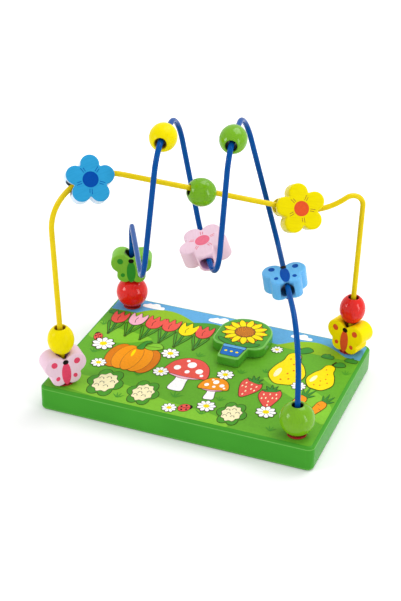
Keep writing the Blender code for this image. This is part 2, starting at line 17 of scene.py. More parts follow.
import bmesh
import bpy
from bmesh.types import BMesh, BMFace, BMVert
from bpy.types import Material, Mesh, Node, NodeSocket, NodeTree, Object
from mathutils import Matrix, Vector
from mathutils.geometry import tessellate_polygon

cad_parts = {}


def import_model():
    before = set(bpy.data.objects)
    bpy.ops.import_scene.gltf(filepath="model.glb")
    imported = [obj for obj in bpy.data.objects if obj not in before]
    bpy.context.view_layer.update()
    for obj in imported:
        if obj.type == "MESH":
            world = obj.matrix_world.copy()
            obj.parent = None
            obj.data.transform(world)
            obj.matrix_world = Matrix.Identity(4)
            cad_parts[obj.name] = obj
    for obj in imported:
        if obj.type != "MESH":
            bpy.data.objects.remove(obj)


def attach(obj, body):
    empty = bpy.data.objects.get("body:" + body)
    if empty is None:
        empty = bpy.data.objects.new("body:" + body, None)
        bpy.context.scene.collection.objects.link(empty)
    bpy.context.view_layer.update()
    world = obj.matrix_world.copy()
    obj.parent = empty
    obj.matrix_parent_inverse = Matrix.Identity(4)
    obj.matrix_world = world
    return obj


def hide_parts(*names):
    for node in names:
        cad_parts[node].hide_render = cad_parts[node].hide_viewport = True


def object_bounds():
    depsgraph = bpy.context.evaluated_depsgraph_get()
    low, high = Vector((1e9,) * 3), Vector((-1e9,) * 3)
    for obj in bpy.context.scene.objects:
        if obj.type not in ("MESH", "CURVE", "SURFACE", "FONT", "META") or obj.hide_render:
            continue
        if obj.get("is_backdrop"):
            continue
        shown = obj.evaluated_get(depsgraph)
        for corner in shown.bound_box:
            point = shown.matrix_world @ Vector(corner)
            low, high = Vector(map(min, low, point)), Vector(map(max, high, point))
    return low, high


LOG = logging.getLogger("bead_maze")

MM = 0.001
TO_METRES = Matrix.Scale(MM, 4)
UP = Vector((0, 0, 1))
FRONT = Vector((0, -1, 0))
LEFT = Vector((-1, 0, 0))
TOWARDS_CHILD = Vector((0.31, -0.81, 0.5))
GOLDEN_ANGLE = math.pi * (3 - math.sqrt(5))

Places = Sequence[tuple[float, float]]
Outline = list[Vector]
Lobe = tuple[Vector, float]

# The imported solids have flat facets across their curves: rounder wings, beads and wires stay this far inside
FACET_DEPTH = 0.12
BEAD_FACET_DEPTH = 0.03
WIRE_FACET_DEPTH = 0.02

# Bore radii of turned beads and sawn figures, and the cone at a turned bead's mouths
BEAD_BORE = 3.8
FIGURE_BORE = 5.0
COUNTERSINK = 0.8

# Gaps between pieces that are fixed together, and between a bead and what it stands on
FIT_GAP = 0.3
SEAT_GAP = 0.3

# Printed ink lies in layers this thick. Shapes that overlap in a layer lie this share of it apart, and the
# copies in a ring this many millimetres
LAYER = 0.04
SHAPE_LIFT = 0.1
RING_LIFT = 0.002

# Widths of the line round a printed shape
PEN = 0.45
FINE_PEN = 0.35
BROAD_PEN = 0.55


# Colours and finishes


class Ink(Enum):
    """Screen-print inks and the paints brushed on the beads, as sRGB hex values."""

    LINE = "#33200F"
    BLACK = "#17120F"
    SKY = "#5FA5D6"
    CLOUD = "#FDFDFB"
    MEADOW = "#63A82C"
    LAWN = "#80C034"
    HILL = "#8CB822"
    SHADE = "#4C972C"
    LEAF = "#3C8B33"
    CORAL = "#E5574C"
    ORANGE = "#F0951C"
    AMBER = "#D97A16"
    YELLOW = "#F4DC10"
    CREAM = "#F8EFC0"
    PINK = "#F0B4C6"
    BROWN = "#9C5B27"
    BLUE = "#1F6BBA"
    NAVY = "#0048A2"
    CRIMSON = "#E04465"
    ROSE = "#E6708A"
    VERMILION = "#DE5428"
    MOSS = "#2F8A2C"


def linear(code: str) -> tuple[float, float, float, float]:
    """Turn an sRGB hex value into a linear colour.

    Args:
        code: the colour as #RRGGBB.

    Returns:
        Linear red, green, blue and an alpha of one.
    """
    channels = [int(code[start : start + 2], 16) / 255 for start in (1, 3, 5)]
    red, green, blue = (c / 12.92 if c <= 0.04045 else ((c + 0.055) / 1.055) ** 2.4 for c in channels)
    return red, green, blue, 1.0


def add_node(tree: NodeTree, kind: str, inputs: dict | None = None, **settings: object) -> Node:
    """Add a node with its settings, values and links.

    Args:
        tree: the tree that takes the node.
        kind: the node's Blender type name.
        inputs: socket name or number to a value, a socket or a node whose first output feeds it.
        settings: the node's own properties.

    Returns:
        The new node.
    """
    node = tree.nodes.new(kind)
    for name, value in settings.items():
        setattr(node, name, value)
    for socket, value in (inputs or {}).items():
        source = value.outputs[0] if isinstance(value, Node) else value
        if isinstance(source, NodeSocket):
            tree.links.new(source, node.inputs[socket])
        else:
            node.inputs[socket].default_value = source
    return node


@dataclass(frozen=True)
class Finish:
    """A surface finish that makes one Blender material.

    Attributes:
        name: the material's name.
        colour: main colour, sRGB hex.
        shade: colour of the thinner or darker places, sRGB hex.
        roughness: roughness of the paint's own surface.
        specular: strength of its gloss, where a half is that of clear lacquer.
    """

    name: str
    colour: str
    shade: str
    roughness: float
    specular: float

    # The pattern values between which the shade comes in, its most, and the relief's height in millimetres
    SHOWN = (0.0, 1.0, 1.0)
    RELIEF = 0.03

    # How far the roughness falls in the relief's hollows and rises on its tops
    SMOOTHER = 0.05
    ROUGHER = 0.07

    # Index of refraction of clear lacquer
    IOR = 1.5

    def material(self) -> Material:
        """The finish's material, made once."""
        found = bpy.data.materials.get(self.name)
        if found is not None:
            return found
        material = bpy.data.materials.new(self.name)
        material.use_nodes = True
        tree = material.node_tree
        shader = tree.nodes["Principled BSDF"]
        shader.inputs["Specular IOR Level"].default_value = self.specular
        shader.inputs["IOR"].default_value = self.IOR
        self.paint(tree, shader)
        return material

    def paint(self, tree: NodeTree, shader: Node) -> None:
        """Link the pattern of this finish to the shader."""
        raise NotImplementedError

    def patterned(self, tree: NodeTree, shader: Node, pattern: Node, relief: Node) -> NodeSocket:
        """Link a pattern to the colour, and a relief to the roughness and the normal.

        Args:
            tree: the material's tree.
            shader: its shader.
            pattern: the node whose value from 0 to 1 mixes the shade into the colour.
            relief: the node that gives the surface's height from 0 to 1.

        Returns:
            The socket that gives the base colour.
        """
        low, high, most = self.SHOWN
        span = {"Value": pattern, "From Min": low, "From Max": high, "To Max": most}
        shown = add_node(tree, "ShaderNodeMapRange", span)
        tones = {"Factor": shown, "A": linear(self.colour), "B": linear(self.shade)}
        colour = add_node(tree, "ShaderNodeMix", tones, data_type="RGBA").outputs["Result"]
        tree.links.new(colour, shader.inputs["Base Color"])
        smoothest = self.roughness - self.SMOOTHER
        roughest = self.roughness + self.ROUGHER
        gloss = {"Value": relief, "To Min": smoothest, "To Max": roughest}
        rough = add_node(tree, "ShaderNodeMapRange", gloss)
        tree.links.new(rough.outputs["Result"], shader.inputs["Roughness"])
        height = {"Height": relief, "Strength": 1.0, "Distance": self.RELIEF * MM}
        bump = add_node(tree, "ShaderNodeBump", height)
        tree.links.new(bump.outputs["Normal"], shader.inputs["Normal"])
        return colour


@dataclass(frozen=True)
class WoodLacquer(Finish):
    """Lacquer on turned or sawn beech, with the fibres just showing and another tone in the bores, partly their
    own colour and partly painted shade.
    """

    # The bores' tone: partly their own colour, partly painted shade
    bore: str

    # Beech fibres are about 0.1 mm wide, too fine to show, so they are drawn 0.7 mm wide
    FIBRE_WIDTH = 0.7
    FIBRE_LENGTH = 9.0
    PEEL_SIZE = 2.2
    PEEL_SHARE = 0.45
    SHOWN = (0.45, 0.8, 0.55)
    RELIEF = 0.035

    def paint(self, tree: NodeTree, shader: Node) -> None:
        """Fibres along the piece's own grain, a faint orange peel, and another tone in the bores that is partly
        painted shade.
        """
        grain = add_node(tree, "ShaderNodeAttribute", attribute_name="grain").outputs["Vector"]
        width = 1 / self.FIBRE_WIDTH
        stretch = (width, width, 1 / self.FIBRE_LENGTH)
        along = add_node(tree, "ShaderNodeMapping", {"Vector": grain, "Scale": stretch})
        fibre = add_node(tree, "ShaderNodeTexNoise", {"Vector": along, "Scale": 1.0, "Detail": 3.0})
        fine = 1 / self.PEEL_SIZE
        peel = add_node(tree, "ShaderNodeTexNoise", {"Vector": grain, "Scale": fine, "Detail": 2.0})
        both = {"Factor": self.PEEL_SHARE, "A": fibre, "B": peel}
        relief = add_node(tree, "ShaderNodeMix", both, data_type="FLOAT")
        colour = self.patterned(tree, shader, fibre, relief)
        # The bores take their tone, which is partly painted shade
        inside = add_node(tree, "ShaderNodeAttribute", attribute_name="bore").outputs["Fac"]
        tones = {"Factor": inside, "A": colour, "B": linear(self.bore)}
        bored = add_node(tree, "ShaderNodeMix", tones, data_type="RGBA")
        tree.links.new(bored.outputs["Result"], shader.inputs["Base Color"])


@dataclass(frozen=True)
class BoardLacquer(Finish):
    """Green lacquer on a sanded board: full gloss, with painted shade over the rounding and a painted highlight
    line below it.
    """

    # Painted highlight: a pale green line along the rims. Painted shade: a deeper green over the rounding
    painted_highlight: str = "#8ED06C"
    painted_shade: str = "#43942A"

    PEEL_SIZE = 3.0
    CLOUD_SIZE = 45.0
    SHOWN = (0.3, 0.75, 0.6)
    RELIEF = 0.02

    def paint(self, tree: NodeTree, shader: Node) -> None:
        """Broad tone changes, an orange peel, painted shade over the roundings and a painted highlight line
        along the edges.
        """
        place = add_node(tree, "ShaderNodeTexCoord").outputs["Object"]
        fine = 1 / (self.PEEL_SIZE * MM)
        peel = add_node(tree, "ShaderNodeTexNoise", {"Vector": place, "Scale": fine, "Detail": 2.0})
        broad = 1 / (self.CLOUD_SIZE * MM)
        cloud = add_node(tree, "ShaderNodeTexNoise", {"Vector": place, "Scale": broad, "Detail": 4.0})
        colour = self.patterned(tree, shader, cloud, peel)
        # The rounding band takes the painted shade, and the edge band the painted highlight, which varies with
        # the broad tone changes
        rounding = add_node(tree, "ShaderNodeAttribute", attribute_name="rounding").outputs["Fac"]
        edge = add_node(tree, "ShaderNodeAttribute", attribute_name="edge").outputs["Fac"]
        painted_highlight_share = add_node(tree, "ShaderNodeMath", {0: edge, 1: cloud}, operation="MULTIPLY")
        for share, code in ((rounding, self.painted_shade), (painted_highlight_share, self.painted_highlight)):
            tones = {"Factor": share, "A": colour, "B": linear(code)}
            colour = add_node(tree, "ShaderNodeMix", tones, data_type="RGBA").outputs["Result"]
        tree.links.new(colour, shader.inputs["Base Color"])


@dataclass(frozen=True)
class WireCoat(Finish):
    """Coloured powder coat on steel wire: an even gloss with a soft orange peel."""

    PEEL_SIZE = 1.1
    STREAK_SIZE = 14.0
    SHOWN = (0.35, 0.8, 0.7)
    RELIEF = 0.012

    def paint(self, tree: NodeTree, shader: Node) -> None:
        """Slow tone changes along the wire and a fine orange peel."""
        place = add_node(tree, "ShaderNodeTexCoord").outputs["Object"]
        fine = 1 / (self.PEEL_SIZE * MM)
        peel = add_node(tree, "ShaderNodeTexNoise", {"Vector": place, "Scale": fine, "Detail": 1.0})
        broad = 1 / (self.STREAK_SIZE * MM)
        streak = add_node(tree, "ShaderNodeTexNoise", {"Vector": place, "Scale": broad, "Detail": 3.0})
        self.patterned(tree, shader, streak, peel)


@dataclass(frozen=True)
class PrintInk(Finish):
    """Screen-print ink under clear lacquer: flat colour with a faint mottle from the mesh."""

    MOTTLE_SIZE = 1.6
    SHOWN = (0.4, 0.8, 0.8)
    RELIEF = 0.006

    def paint(self, tree: NodeTree, shader: Node) -> None:
        """A faint mottle in tone and gloss."""
        place = add_node(tree, "ShaderNodeTexCoord").outputs["Object"]
        fine = 1 / (self.MOTTLE_SIZE * MM)
        mottle = add_node(tree, "ShaderNodeTexNoise", {"Vector": place, "Scale": fine, "Detail": 3.0})
        self.patterned(tree, shader, mottle, mottle)


@dataclass(frozen=True)
class BareBeech(Finish):
    """Planed beech dowel: pale brown with short dark flecks, no gloss."""

    FLECK_WIDTH = 0.5
    FLECK_LENGTH = 4.0

    def paint(self, tree: NodeTree, shader: Node) -> None:
        """Flecks along the dowel, which stands upright."""
        place = add_node(tree, "ShaderNodeTexCoord").outputs["Object"]
        width = 1 / (self.FLECK_WIDTH * MM)
        stretch = (width, width, 1 / (self.FLECK_LENGTH * MM))
        along = add_node(tree, "ShaderNodeMapping", {"Vector": place, "Scale": stretch})
        fleck = add_node(tree, "ShaderNodeTexNoise", {"Vector": along, "Scale": 1.0, "Detail": 2.0})
        self.patterned(tree, shader, fleck, fleck)


def darker(code: str, share: float) -> str:
    """A hex colour with each channel brought down to this share of itself."""
    channels = [round(int(code[start : start + 2], 16) * share) for start in (1, 3, 5)]
    return "#" + "".join(f"{channel:02X}" for channel in channels)


# The tone of an ink's mottle as a share of its own, and the roughness and gloss of the inks
MOTTLE_TONE = 0.93
INK_ROUGHNESS = 0.3
INK_GLOSS = 0.06


def ink_finish(ink: Ink) -> Material:
    """The material of one printing ink."""
    name = f"print_ink_{ink.name.lower()}"
    mottle = darker(ink.value, MOTTLE_TONE)
    return PrintInk(name, ink.value, mottle, INK_ROUGHNESS, INK_GLOSS).material()


# Each wood lacquer's last colour goes in its bores: partly the bore's own colour, partly painted shade
YELLOW_LACQUER = WoodLacquer("yellow_bead_lacquer", "#E7D602", "#D9C302", 0.2, 0.05, bore="#96741A")
FLOWER_LACQUER = WoodLacquer("yellow_flower_lacquer", "#E7D602", "#D9C302", 0.2, 0.05, bore="#DDC60E")
# Painted light: a brighter copy of the bead yellow that lightens the yellow butterfly where little light falls
# on its face
LIT_YELLOW_LACQUER = WoodLacquer("butter_yellow_lacquer", "#F4DC06", "#EACA04", 0.3, 0.05, bore="#96741A")
GREEN_LACQUER = WoodLacquer("leaf_green_bead_lacquer", "#6EA812", "#5E960A", 0.14, 0.26, bore="#1A2A0A")
LEAF_LACQUER = WoodLacquer("leaf_green_satin_lacquer", "#78B636", "#68A428", 0.36, 0.14, bore="#1A2A0A")
RED_LACQUER = WoodLacquer("red_bead_lacquer", "#DC1C14", "#C2140E", 0.1, 0.3, bore="#7A1812")
PINK_LACQUER = WoodLacquer("pale_pink_lacquer", "#E6C6D6", "#DBB4C6", 0.4, 0.12, bore="#B482AA")
SKY_LACQUER = WoodLacquer("sky_blue_lacquer", "#2C98CC", "#2088BC", 0.36, 0.08, bore="#0E2A42")
POWDER_LACQUER = WoodLacquer("powder_blue_lacquer", "#5EAEE6", "#4E9DD6", 0.2, 0.26, bore="#1E4A74")
PALE_SKY_LACQUER = WoodLacquer("pale_blue_lacquer", "#D0E1F4", "#BCD2EC", 0.4, 0.12, bore="#3E5670")
BOARD_GREEN = BoardLacquer("board_green_lacquer", "#449B2D", "#388A26", 0.22, 0.06)
BLOCK_GREEN = BoardLacquer("block_green_lacquer", "#4C9C2A", "#3E8A22", 0.22, 0.16)
YELLOW_COAT = WireCoat("yellow_wire_coat", "#E2C80A", "#D6B806", 0.22, 0.12)
BLUE_COAT = WireCoat("blue_wire_coat", "#004C96", "#004088", 0.14, 0.07)
COLLAR_RED = WireCoat("red_collar_gloss", "#A82A26", "#8E201E", 0.22, 0.18)
DOWEL_BEECH = BareBeech("bare_beech", "#C79B6B", "#A97C4E", 0.6, 0.3)


# Wire paths


@dataclass(frozen=True)
class Bend:
    """A corner of a bent wire: where its straight stretches would meet, and its bend radius."""

    corner: Vector
    radius: float = 0.0


@dataclass(frozen=True)
class Arc:
    """The rounded corner between two straight stretches."""

    centre: Vector
    start_arm: Vector
    side_arm: Vector
    turn: float

    @classmethod
    def between(cls, before: Vector, corner: Vector, after: Vector, radius: float) -> Arc:
        """The arc of this radius that rounds a corner between its two neighbours."""
        back = (before - corner).normalized()
        ahead = (after - corner).normalized()
        opening = back.angle(ahead)
        start = corner + back * (radius / math.tan(opening / 2))
        centre = corner + (back + ahead).normalized() * (radius / math.sin(opening / 2))
        return cls(centre, start - centre, -back * radius, math.pi - opening)

    def point(self, angle: float) -> Vector:
        """The point at this angle from the arc's start."""
        return self.centre + self.start_arm * math.cos(angle) + self.side_arm * math.sin(angle)

    def tangent(self, angle: float) -> Vector:
        """The direction of travel at this angle from the arc's start."""
        return (self.side_arm * math.cos(angle) - self.start_arm * math.sin(angle)).normalized()

    def points(self, step: float) -> Outline:
        """Evenly spaced points from the arc's start to its end, about a step in radians apart."""
        count = max(2, math.ceil(self.turn / step))
        return [self.point(self.turn * index / count) for index in range(count + 1)]


@dataclass(frozen=True)
class WirePath:
    """A bent wire's centre line, foot to foot."""

    bends: tuple[Bend, ...]

    def arc(self, index: int) -> Arc:
        """The arc at an inner bend, the first one being number one."""
        before, here, after = self.bends[index - 1 : index + 2]
        return Arc.between(before.corner, here.corner, after.corner, here.radius)

    def stretch(self, index: int) -> tuple[Vector, Vector]:
        """The corner that a straight stretch leaves, and its direction."""
        start = self.bends[index].corner
        return start, (self.bends[index + 1].corner - start).normalized()

    def leg(self, last: bool, height: float) -> tuple[Vector, Vector]:
        """Where the first or last leg crosses a height, and its upward direction."""
        foot, following = (self.bends[-1], self.bends[-2]) if last else (self.bends[0], self.bends[1])
        upward = (following.corner - foot.corner).normalized()
        return foot.corner + upward * ((height - foot.corner.z) / upward.z), upward


# Outlines in a flat face's own X and Y

# The angle between two points on a rounded corner, and on a sawn lobe
CORNER_STEP = math.radians(6)
LOBE_STEP = math.radians(7.5)

# A sharp corner moves out by at most one over this, times the distance that its sides move
SHARPEST = 0.5

# A drawn leaf is widest at its belly, and narrows to its shoulder and then to its tip
LEAF_BELLY = 0.5
LEAF_SHOULDER = 0.8
SHOULDER_WIDTH = 0.6


def flat(places: Places) -> Outline:
    """Places in a flat face as vectors."""
    return [Vector((x, y, 0)) for x, y in places]


def oval(x: float, y: float, width: float, height: float, turn: float = 0.0, steps: int = 28) -> Outline:
    """A flat oval.

    Args:
        x: centre across.
        y: centre up.
        width: half its width.
        height: half its height.
        turn: how far it is turned, in degrees.
        steps: number of points.

    Returns:
        Its points, anticlockwise.
    """
    spin = Matrix.Rotation(math.radians(turn), 3, "Z")
    angles = [math.tau * index / steps for index in range(steps)]
    middle = Vector((x, y, 0))
    return [middle + spin @ Vector((width * math.cos(a), height * math.sin(a), 0)) for a in angles]


def smooth(corners: Places, steps: int = 6) -> Outline:
    """A closed flat outline that runs smoothly through its corners."""
    places = flat(corners)
    count = len(places)
    points: Outline = []
    for index in range(count):
        p0, p1, p2, p3 = (places[(index + shift) % count] for shift in (-1, 0, 1, 2))
        for step in range(steps):
            t = step / steps
            ease = p1 * 2 + (p2 - p0) * t + (p0 * 2 - p1 * 5 + p2 * 4 - p3) * t**2
            points.append((ease + (p1 * 3 - p0 - p2 * 3 + p3) * t**3) / 2)
    return points


def mirrored(foot: float, right: Places, top: float, steps: int = 6) -> Outline:
    """A smooth outline with two like sides.

    Args:
        foot: the height of its lowest middle point.
        right: the corners of its right side, upwards.
        top: the height of its highest middle point.
        steps: points from one corner to the next.

    Returns:
        The outline, anticlockwise.
    """
    left = [(-x, y) for x, y in reversed(right)]
    return smooth([(0, foot), *right, (0, top), *left], steps)


def moved(outline: Outline, x: float, y: float, scale: float = 1.0, turn: float = 0.0) -> Outline:
    """An outline scaled, turned by degrees and then moved."""
    change = Matrix.Rotation(math.radians(turn), 3, "Z") * scale
    return [change @ point + Vector((x, y, 0)) for point in outline]


def corner_ways(outline: Outline) -> Outline:
    """The outward direction at each point of an anticlockwise outline, lengthened at its corners."""
    ways = []
    count = len(outline)
    for index, here in enumerate(outline):
        before = (here - outline[index - 1]).normalized()
        after = (outline[(index + 1) % count] - here).normalized()
        first = Vector((before.y, -before.x, 0))
        second = Vector((after.y, -after.x, 0))
        middle = (first + second).normalized()
        ways.append(middle / max(SHARPEST, middle.dot(first)))
    return ways


def grown(outline: Outline, distance: float) -> Outline:
    """An anticlockwise outline moved outwards by a distance."""
    return [point + way * distance for point, way in zip(outline, corner_ways(outline))]


def ribbon(path: Places, width: float) -> Outline:
    """The anticlockwise outline of a flat brush stroke along a path."""
    places = flat(path)
    left: Outline = []
    right: Outline = []
    for index, place in enumerate(places):
        ahead = places[min(index + 1, len(places) - 1)] - places[max(index - 1, 0)]
        side = Vector((-ahead.y, ahead.x, 0)).normalized()
        left.append(place + side * (width / 2))
        right.append(place - side * (width / 2))
    return right + left[::-1]


def fan(leaves: Places, valley: float, foot: float, width: float) -> Outline:
    """A tuft of pointed leaves as one outline, with its foot at the origin.

    Args:
        leaves: each leaf's turn from upright in degrees and its length, from right to left.
        valley: how far from the foot two leaves part.
        foot: half the width of the foot.
        width: half the width of a leaf.

    Returns:
        The outline, anticlockwise.
    """
    outline = [Vector((foot, 0, 0))]
    for index, (turn, length) in enumerate(leaves):
        if index:
            between = (turn + leaves[index - 1][0]) / 2
            outline += moved([Vector((0, valley, 0))], 0, 0, 1, between)
        belly = length * LEAF_BELLY
        shoulder = length * LEAF_SHOULDER
        narrow = width * SHOULDER_WIDTH
        leaf = [(width, belly), (narrow, shoulder), (0, length), (-narrow, shoulder), (-width, belly)]
        outline += moved(flat(leaf), 0, 0, 1, turn)
    return outline + [Vector((-foot, 0, 0))]


def within(point: Vector, outline: Outline) -> bool:
    """Whether a point lies inside a flat outline."""
    crossings = 0
    for index, here in enumerate(outline):
        before = outline[index - 1]
        if (here.y > point.y) != (before.y > point.y):
            share = (point.y - here.y) / (before.y - here.y)
            crossings += point.x < here.x + share * (before.x - here.x)
    return crossings % 2 == 1


def meets(first: Outline, second: Outline) -> bool:
    """Whether two flat outlines overlap."""
    for axis in (0, 1):
        if max(p[axis] for p in first) < min(p[axis] for p in second):
            return False
        if max(p[axis] for p in second) < min(p[axis] for p in first):
            return False
    return any(within(p, second) for p in first) or any(within(p, first) for p in second)


def rounded_outline(corners: Outline, radii: Sequence[float], step: float = CORNER_STEP) -> Outline:
    """A closed outline whose corners are rounded to these radii; a corner of radius zero stays."""
    points: Outline = []
    count = len(corners)
    for index, radius in enumerate(radii):
        if radius <= 0:
            points.append(corners[index])
            continue
        arc = Arc.between(corners[index - 1], corners[index], corners[(index + 1) % count], radius)
        points.extend(arc.points(step))
    return points


def swept(centre: Vector, radius: float, start: Vector, end: Vector, anticlockwise: bool) -> Outline:
    """Points on a flat circle from one direction to another."""
    first = math.atan2(start.y, start.x)
    turn = (math.atan2(end.y, end.x) - first) % math.tau
    if not anticlockwise:
        turn -= math.tau
    count = max(3, math.ceil(abs(turn) / LOBE_STEP))
    angles = [first + turn * index / count for index in range(count + 1)]
    return [centre + Vector((math.cos(angle), math.sin(angle), 0)) * radius for angle in angles]


def lobed_outline(lobes: Sequence[Lobe], notch_radius: float) -> Outline:
    """A closed outline of round lobes, given anticlockwise, with a rounded notch between each two."""
    notches = []
    following = list(lobes[1:]) + list(lobes[:1])
    for (first, first_radius), (second, second_radius) in zip(lobes, following):
        span = second - first
        reach = first_radius + notch_radius
        other_reach = second_radius + notch_radius
        along = (reach**2 - other_reach**2 + span.length_squared) / (2 * span.length)
        outward = Vector((span.y, -span.x, 0)).normalized()
        notches.append(first + span.normalized() * along + outward * math.sqrt(reach**2 - along**2))
    points: Outline = []
    for index, (centre, radius) in enumerate(lobes):
        notch = notches[index]
        lobe = swept(centre, radius, notches[index - 1] - centre, notch - centre, True)
        hollow = swept(notch, notch_radius, centre - notch, following[index][0] - notch, False)
        points.extend(lobe[:-1] + hollow[:-1])
    return points


# Meshes

# Points of a drilled mesh that lie closer than this are merged, and closer than the second once it is eased
SHORTEST_EDGE = 0.02
SHORTEST_RIM = SHORTEST_EDGE / 10

# Facets round a drill and across an eased rim, and the angle from which an edge is eased
DRILL_FACETS = 48
RIM_FACETS = 2
EASED_ANGLE = math.radians(40)


def mesh_from(shape: BMesh, name: str) -> Mesh:
    """Free a bmesh into a new mesh."""
    mesh = bpy.data.meshes.new(name)
    shape.to_mesh(mesh)
    shape.free()
    return mesh


def bridge(shape: BMesh, lower: Sequence[BMVert], upper: Sequence[BMVert]) -> list[BMFace]:
    """Join two closed rings of points with a band of faces."""
    faces = []
    for index in range(len(lower)):
        after = (index + 1) % len(lower)
        faces.append(shape.faces.new((lower[index], lower[after], upper[after], upper[index])))
    return faces


def slab_mesh(name: str, outline: Outline, thickness: float, edge: float, steps: int) -> Mesh:
    """A flat piece of an outline with rounded rims, lying about Z zero.

    Args:
        name: the mesh's name.
        outline: its outline, anticlockwise.
        thickness: its thickness.
        edge: radius of the rims.
        steps: facets in each rim.

    Returns:
        The closed mesh.
    """
    shape = bmesh.new()
    half = thickness / 2
    ways = corner_ways(outline)
    angles = [math.pi / 2 * index / steps for index in range(steps + 1)]
    levels = [(edge * (1 - math.sin(a)), edge * (1 - math.cos(a)) - half) for a in angles]
    levels += [(inset, -height) for inset, height in reversed(levels)]
    rings = []
    for inset, height in levels:
        ring = [point - way * inset + UP * height for point, way in zip(outline, ways)]
        rings.append([shape.verts.new(place) for place in ring])
    for lower, upper in zip(rings, rings[1:]):
        bridge(shape, lower, upper)
    for ring, flip in ((rings[0], True), (rings[-1], False)):
        for a, b, c in tessellate_polygon([[vertex.co for vertex in ring]]):
            corners = (ring[a], ring[b], ring[c])
            normal = (corners[1].co - corners[0].co).cross(corners[2].co - corners[0].co)
            upward = normal.z > 0
            shape.faces.new(corners[::-1] if upward == flip else corners)
    return mesh_from(shape, name)


def turned_mesh(name: str, profile: Outline, steps: int) -> Mesh:
    """A closed profile turned about Z, its X being the radius and its Y the height."""
    shape = bmesh.new()
    rings = []
    for index in range(steps):
        spin = Matrix.Rotation(math.tau * index / steps, 3, "Z")
        rings.append([shape.verts.new(spin @ Vector((point.x, 0, point.y))) for point in profile])
    for ring, following in zip(rings, rings[1:] + rings[:1]):
        bridge(shape, ring, following)
    bmesh.ops.recalc_face_normals(shape, faces=shape.faces)
    return mesh_from(shape, name)


def evaluated(item: Object, name: str) -> Mesh:
    """Make an object's evaluated mesh plain and remove the object."""
    bpy.context.view_layer.update()
    graph = bpy.context.evaluated_depsgraph_get()
    mesh = bpy.data.meshes.new_from_object(item.evaluated_get(graph))
    mesh.name = name
    bpy.data.objects.remove(item, do_unlink=True)
    return mesh


def add_object(data: bpy.types.ID, name: str = "bench") -> Object:
    """A new object in the scene, or one to work a mesh on."""
    item = bpy.data.objects.new(name, data)
    bpy.context.scene.collection.objects.link(item)
    return item


def weld(mesh: Mesh, gap: float) -> None:
    """Merge the points of a mesh that lie closer together than a gap, and drop the slivers between them."""
    shape = bmesh.new()
    shape.from_mesh(mesh)
    bmesh.ops.remove_doubles(shape, verts=shape.verts, dist=gap)
    bmesh.ops.dissolve_degenerate(shape, edges=shape.edges, dist=gap)
    shape.to_mesh(mesh)
    shape.free()


def bored_mesh(mesh: Mesh, radius: float, reach: float, easing: float) -> Mesh:
    """Drill a mesh along its own Z and ease the bore's rims.

    Args:
        mesh: the closed mesh.
        radius: the drill's radius.
        reach: how far the drill runs to each side.
        easing: width of the eased rim.

    Returns:
        The drilled mesh.
    """
    shape = bmesh.new()
    bmesh.ops.create_cone(
        shape, cap_ends=True, segments=DRILL_FACETS, radius1=radius, radius2=radius, depth=2 * reach
    )
    drill = add_object(mesh_from(shape, "drill"))
    item = add_object(mesh)
    cut = item.modifiers.new("drilled", "BOOLEAN")
    cut.operation = "DIFFERENCE"
    cut.object = drill
    drilled = evaluated(item, mesh.name)
    bpy.data.objects.remove(drill, do_unlink=True)
    weld(drilled, SHORTEST_EDGE)
    item = add_object(drilled)
    ease = item.modifiers.new("eased", "BEVEL")
    ease.width = easing
    ease.segments = RIM_FACETS
    ease.limit_method = "ANGLE"
    ease.angle_limit = EASED_ANGLE
    eased = evaluated(item, mesh.name)
    weld(eased, SHORTEST_RIM)
    return eased


def paint_attribute(mesh: Mesh, name: str, value: Callable[[Vector], float]) -> None:
    """Store a value for each vertex of a mesh, worked out from its place."""
    layer = mesh.attributes.new(name, "FLOAT", "POINT")
    for vertex, item in zip(mesh.vertices, layer.data):
        item.value = value(vertex.co)


def band_attribute(mesh: Mesh, name: str, low: float, high: float) -> None:
    """Store a one for each vertex that lies between two distances from the plane Z zero, or else a zero."""
    paint_attribute(mesh, name, lambda place: 1.0 if low < abs(place.z) < high else 0.0)


def wood_attributes(mesh: Mesh, bore: float) -> None:
    """Store each vertex's own place, so that the grain follows the piece, and whether it is in the bore.

    Args:
        mesh: the piece's mesh in millimetres, with its bore along Z.
        bore: the radius inside which a vertex is in the bore.
    """
    layer = mesh.attributes.new("grain", "FLOAT_VECTOR", "POINT")
    for vertex, item in zip(mesh.vertices, layer.data):
        item.vector = vertex.co
    paint_attribute(mesh, "bore", lambda place: 1.0 if place.xy.length < bore else 0.0)


def shade(mesh: Mesh, crease: float = 35.0) -> None:
    """Shade a mesh smooth but for creases sharper than this many degrees."""
    mesh.shade_smooth()
    mesh.set_sharp_from_angle(angle=math.radians(crease))


def put(
    name: str, mesh: Mesh, frame: Matrix, body: str, nodes: Sequence[str] = ()
) -> Object:
    """Put a finished mesh in its place and let it ride on its body.

    Args:
        name: the piece's name.
        mesh: its mesh in millimetres, in its own frame.
        frame: where that frame lies, in millimetres.
        body: the body that it moves with.
        nodes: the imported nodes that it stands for.

    Returns:
        The piece, at the origin, with its place in its mesh.
    """
    mesh.transform(TO_METRES @ frame)
    mesh.name = name
    piece = add_object(mesh, name)
    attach(piece, body)
    if nodes:
        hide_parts(*nodes)
    LOG.info("%s: %d faces on %s", name, len(mesh.polygons), body)
    return piece


# Geometry Nodes trees


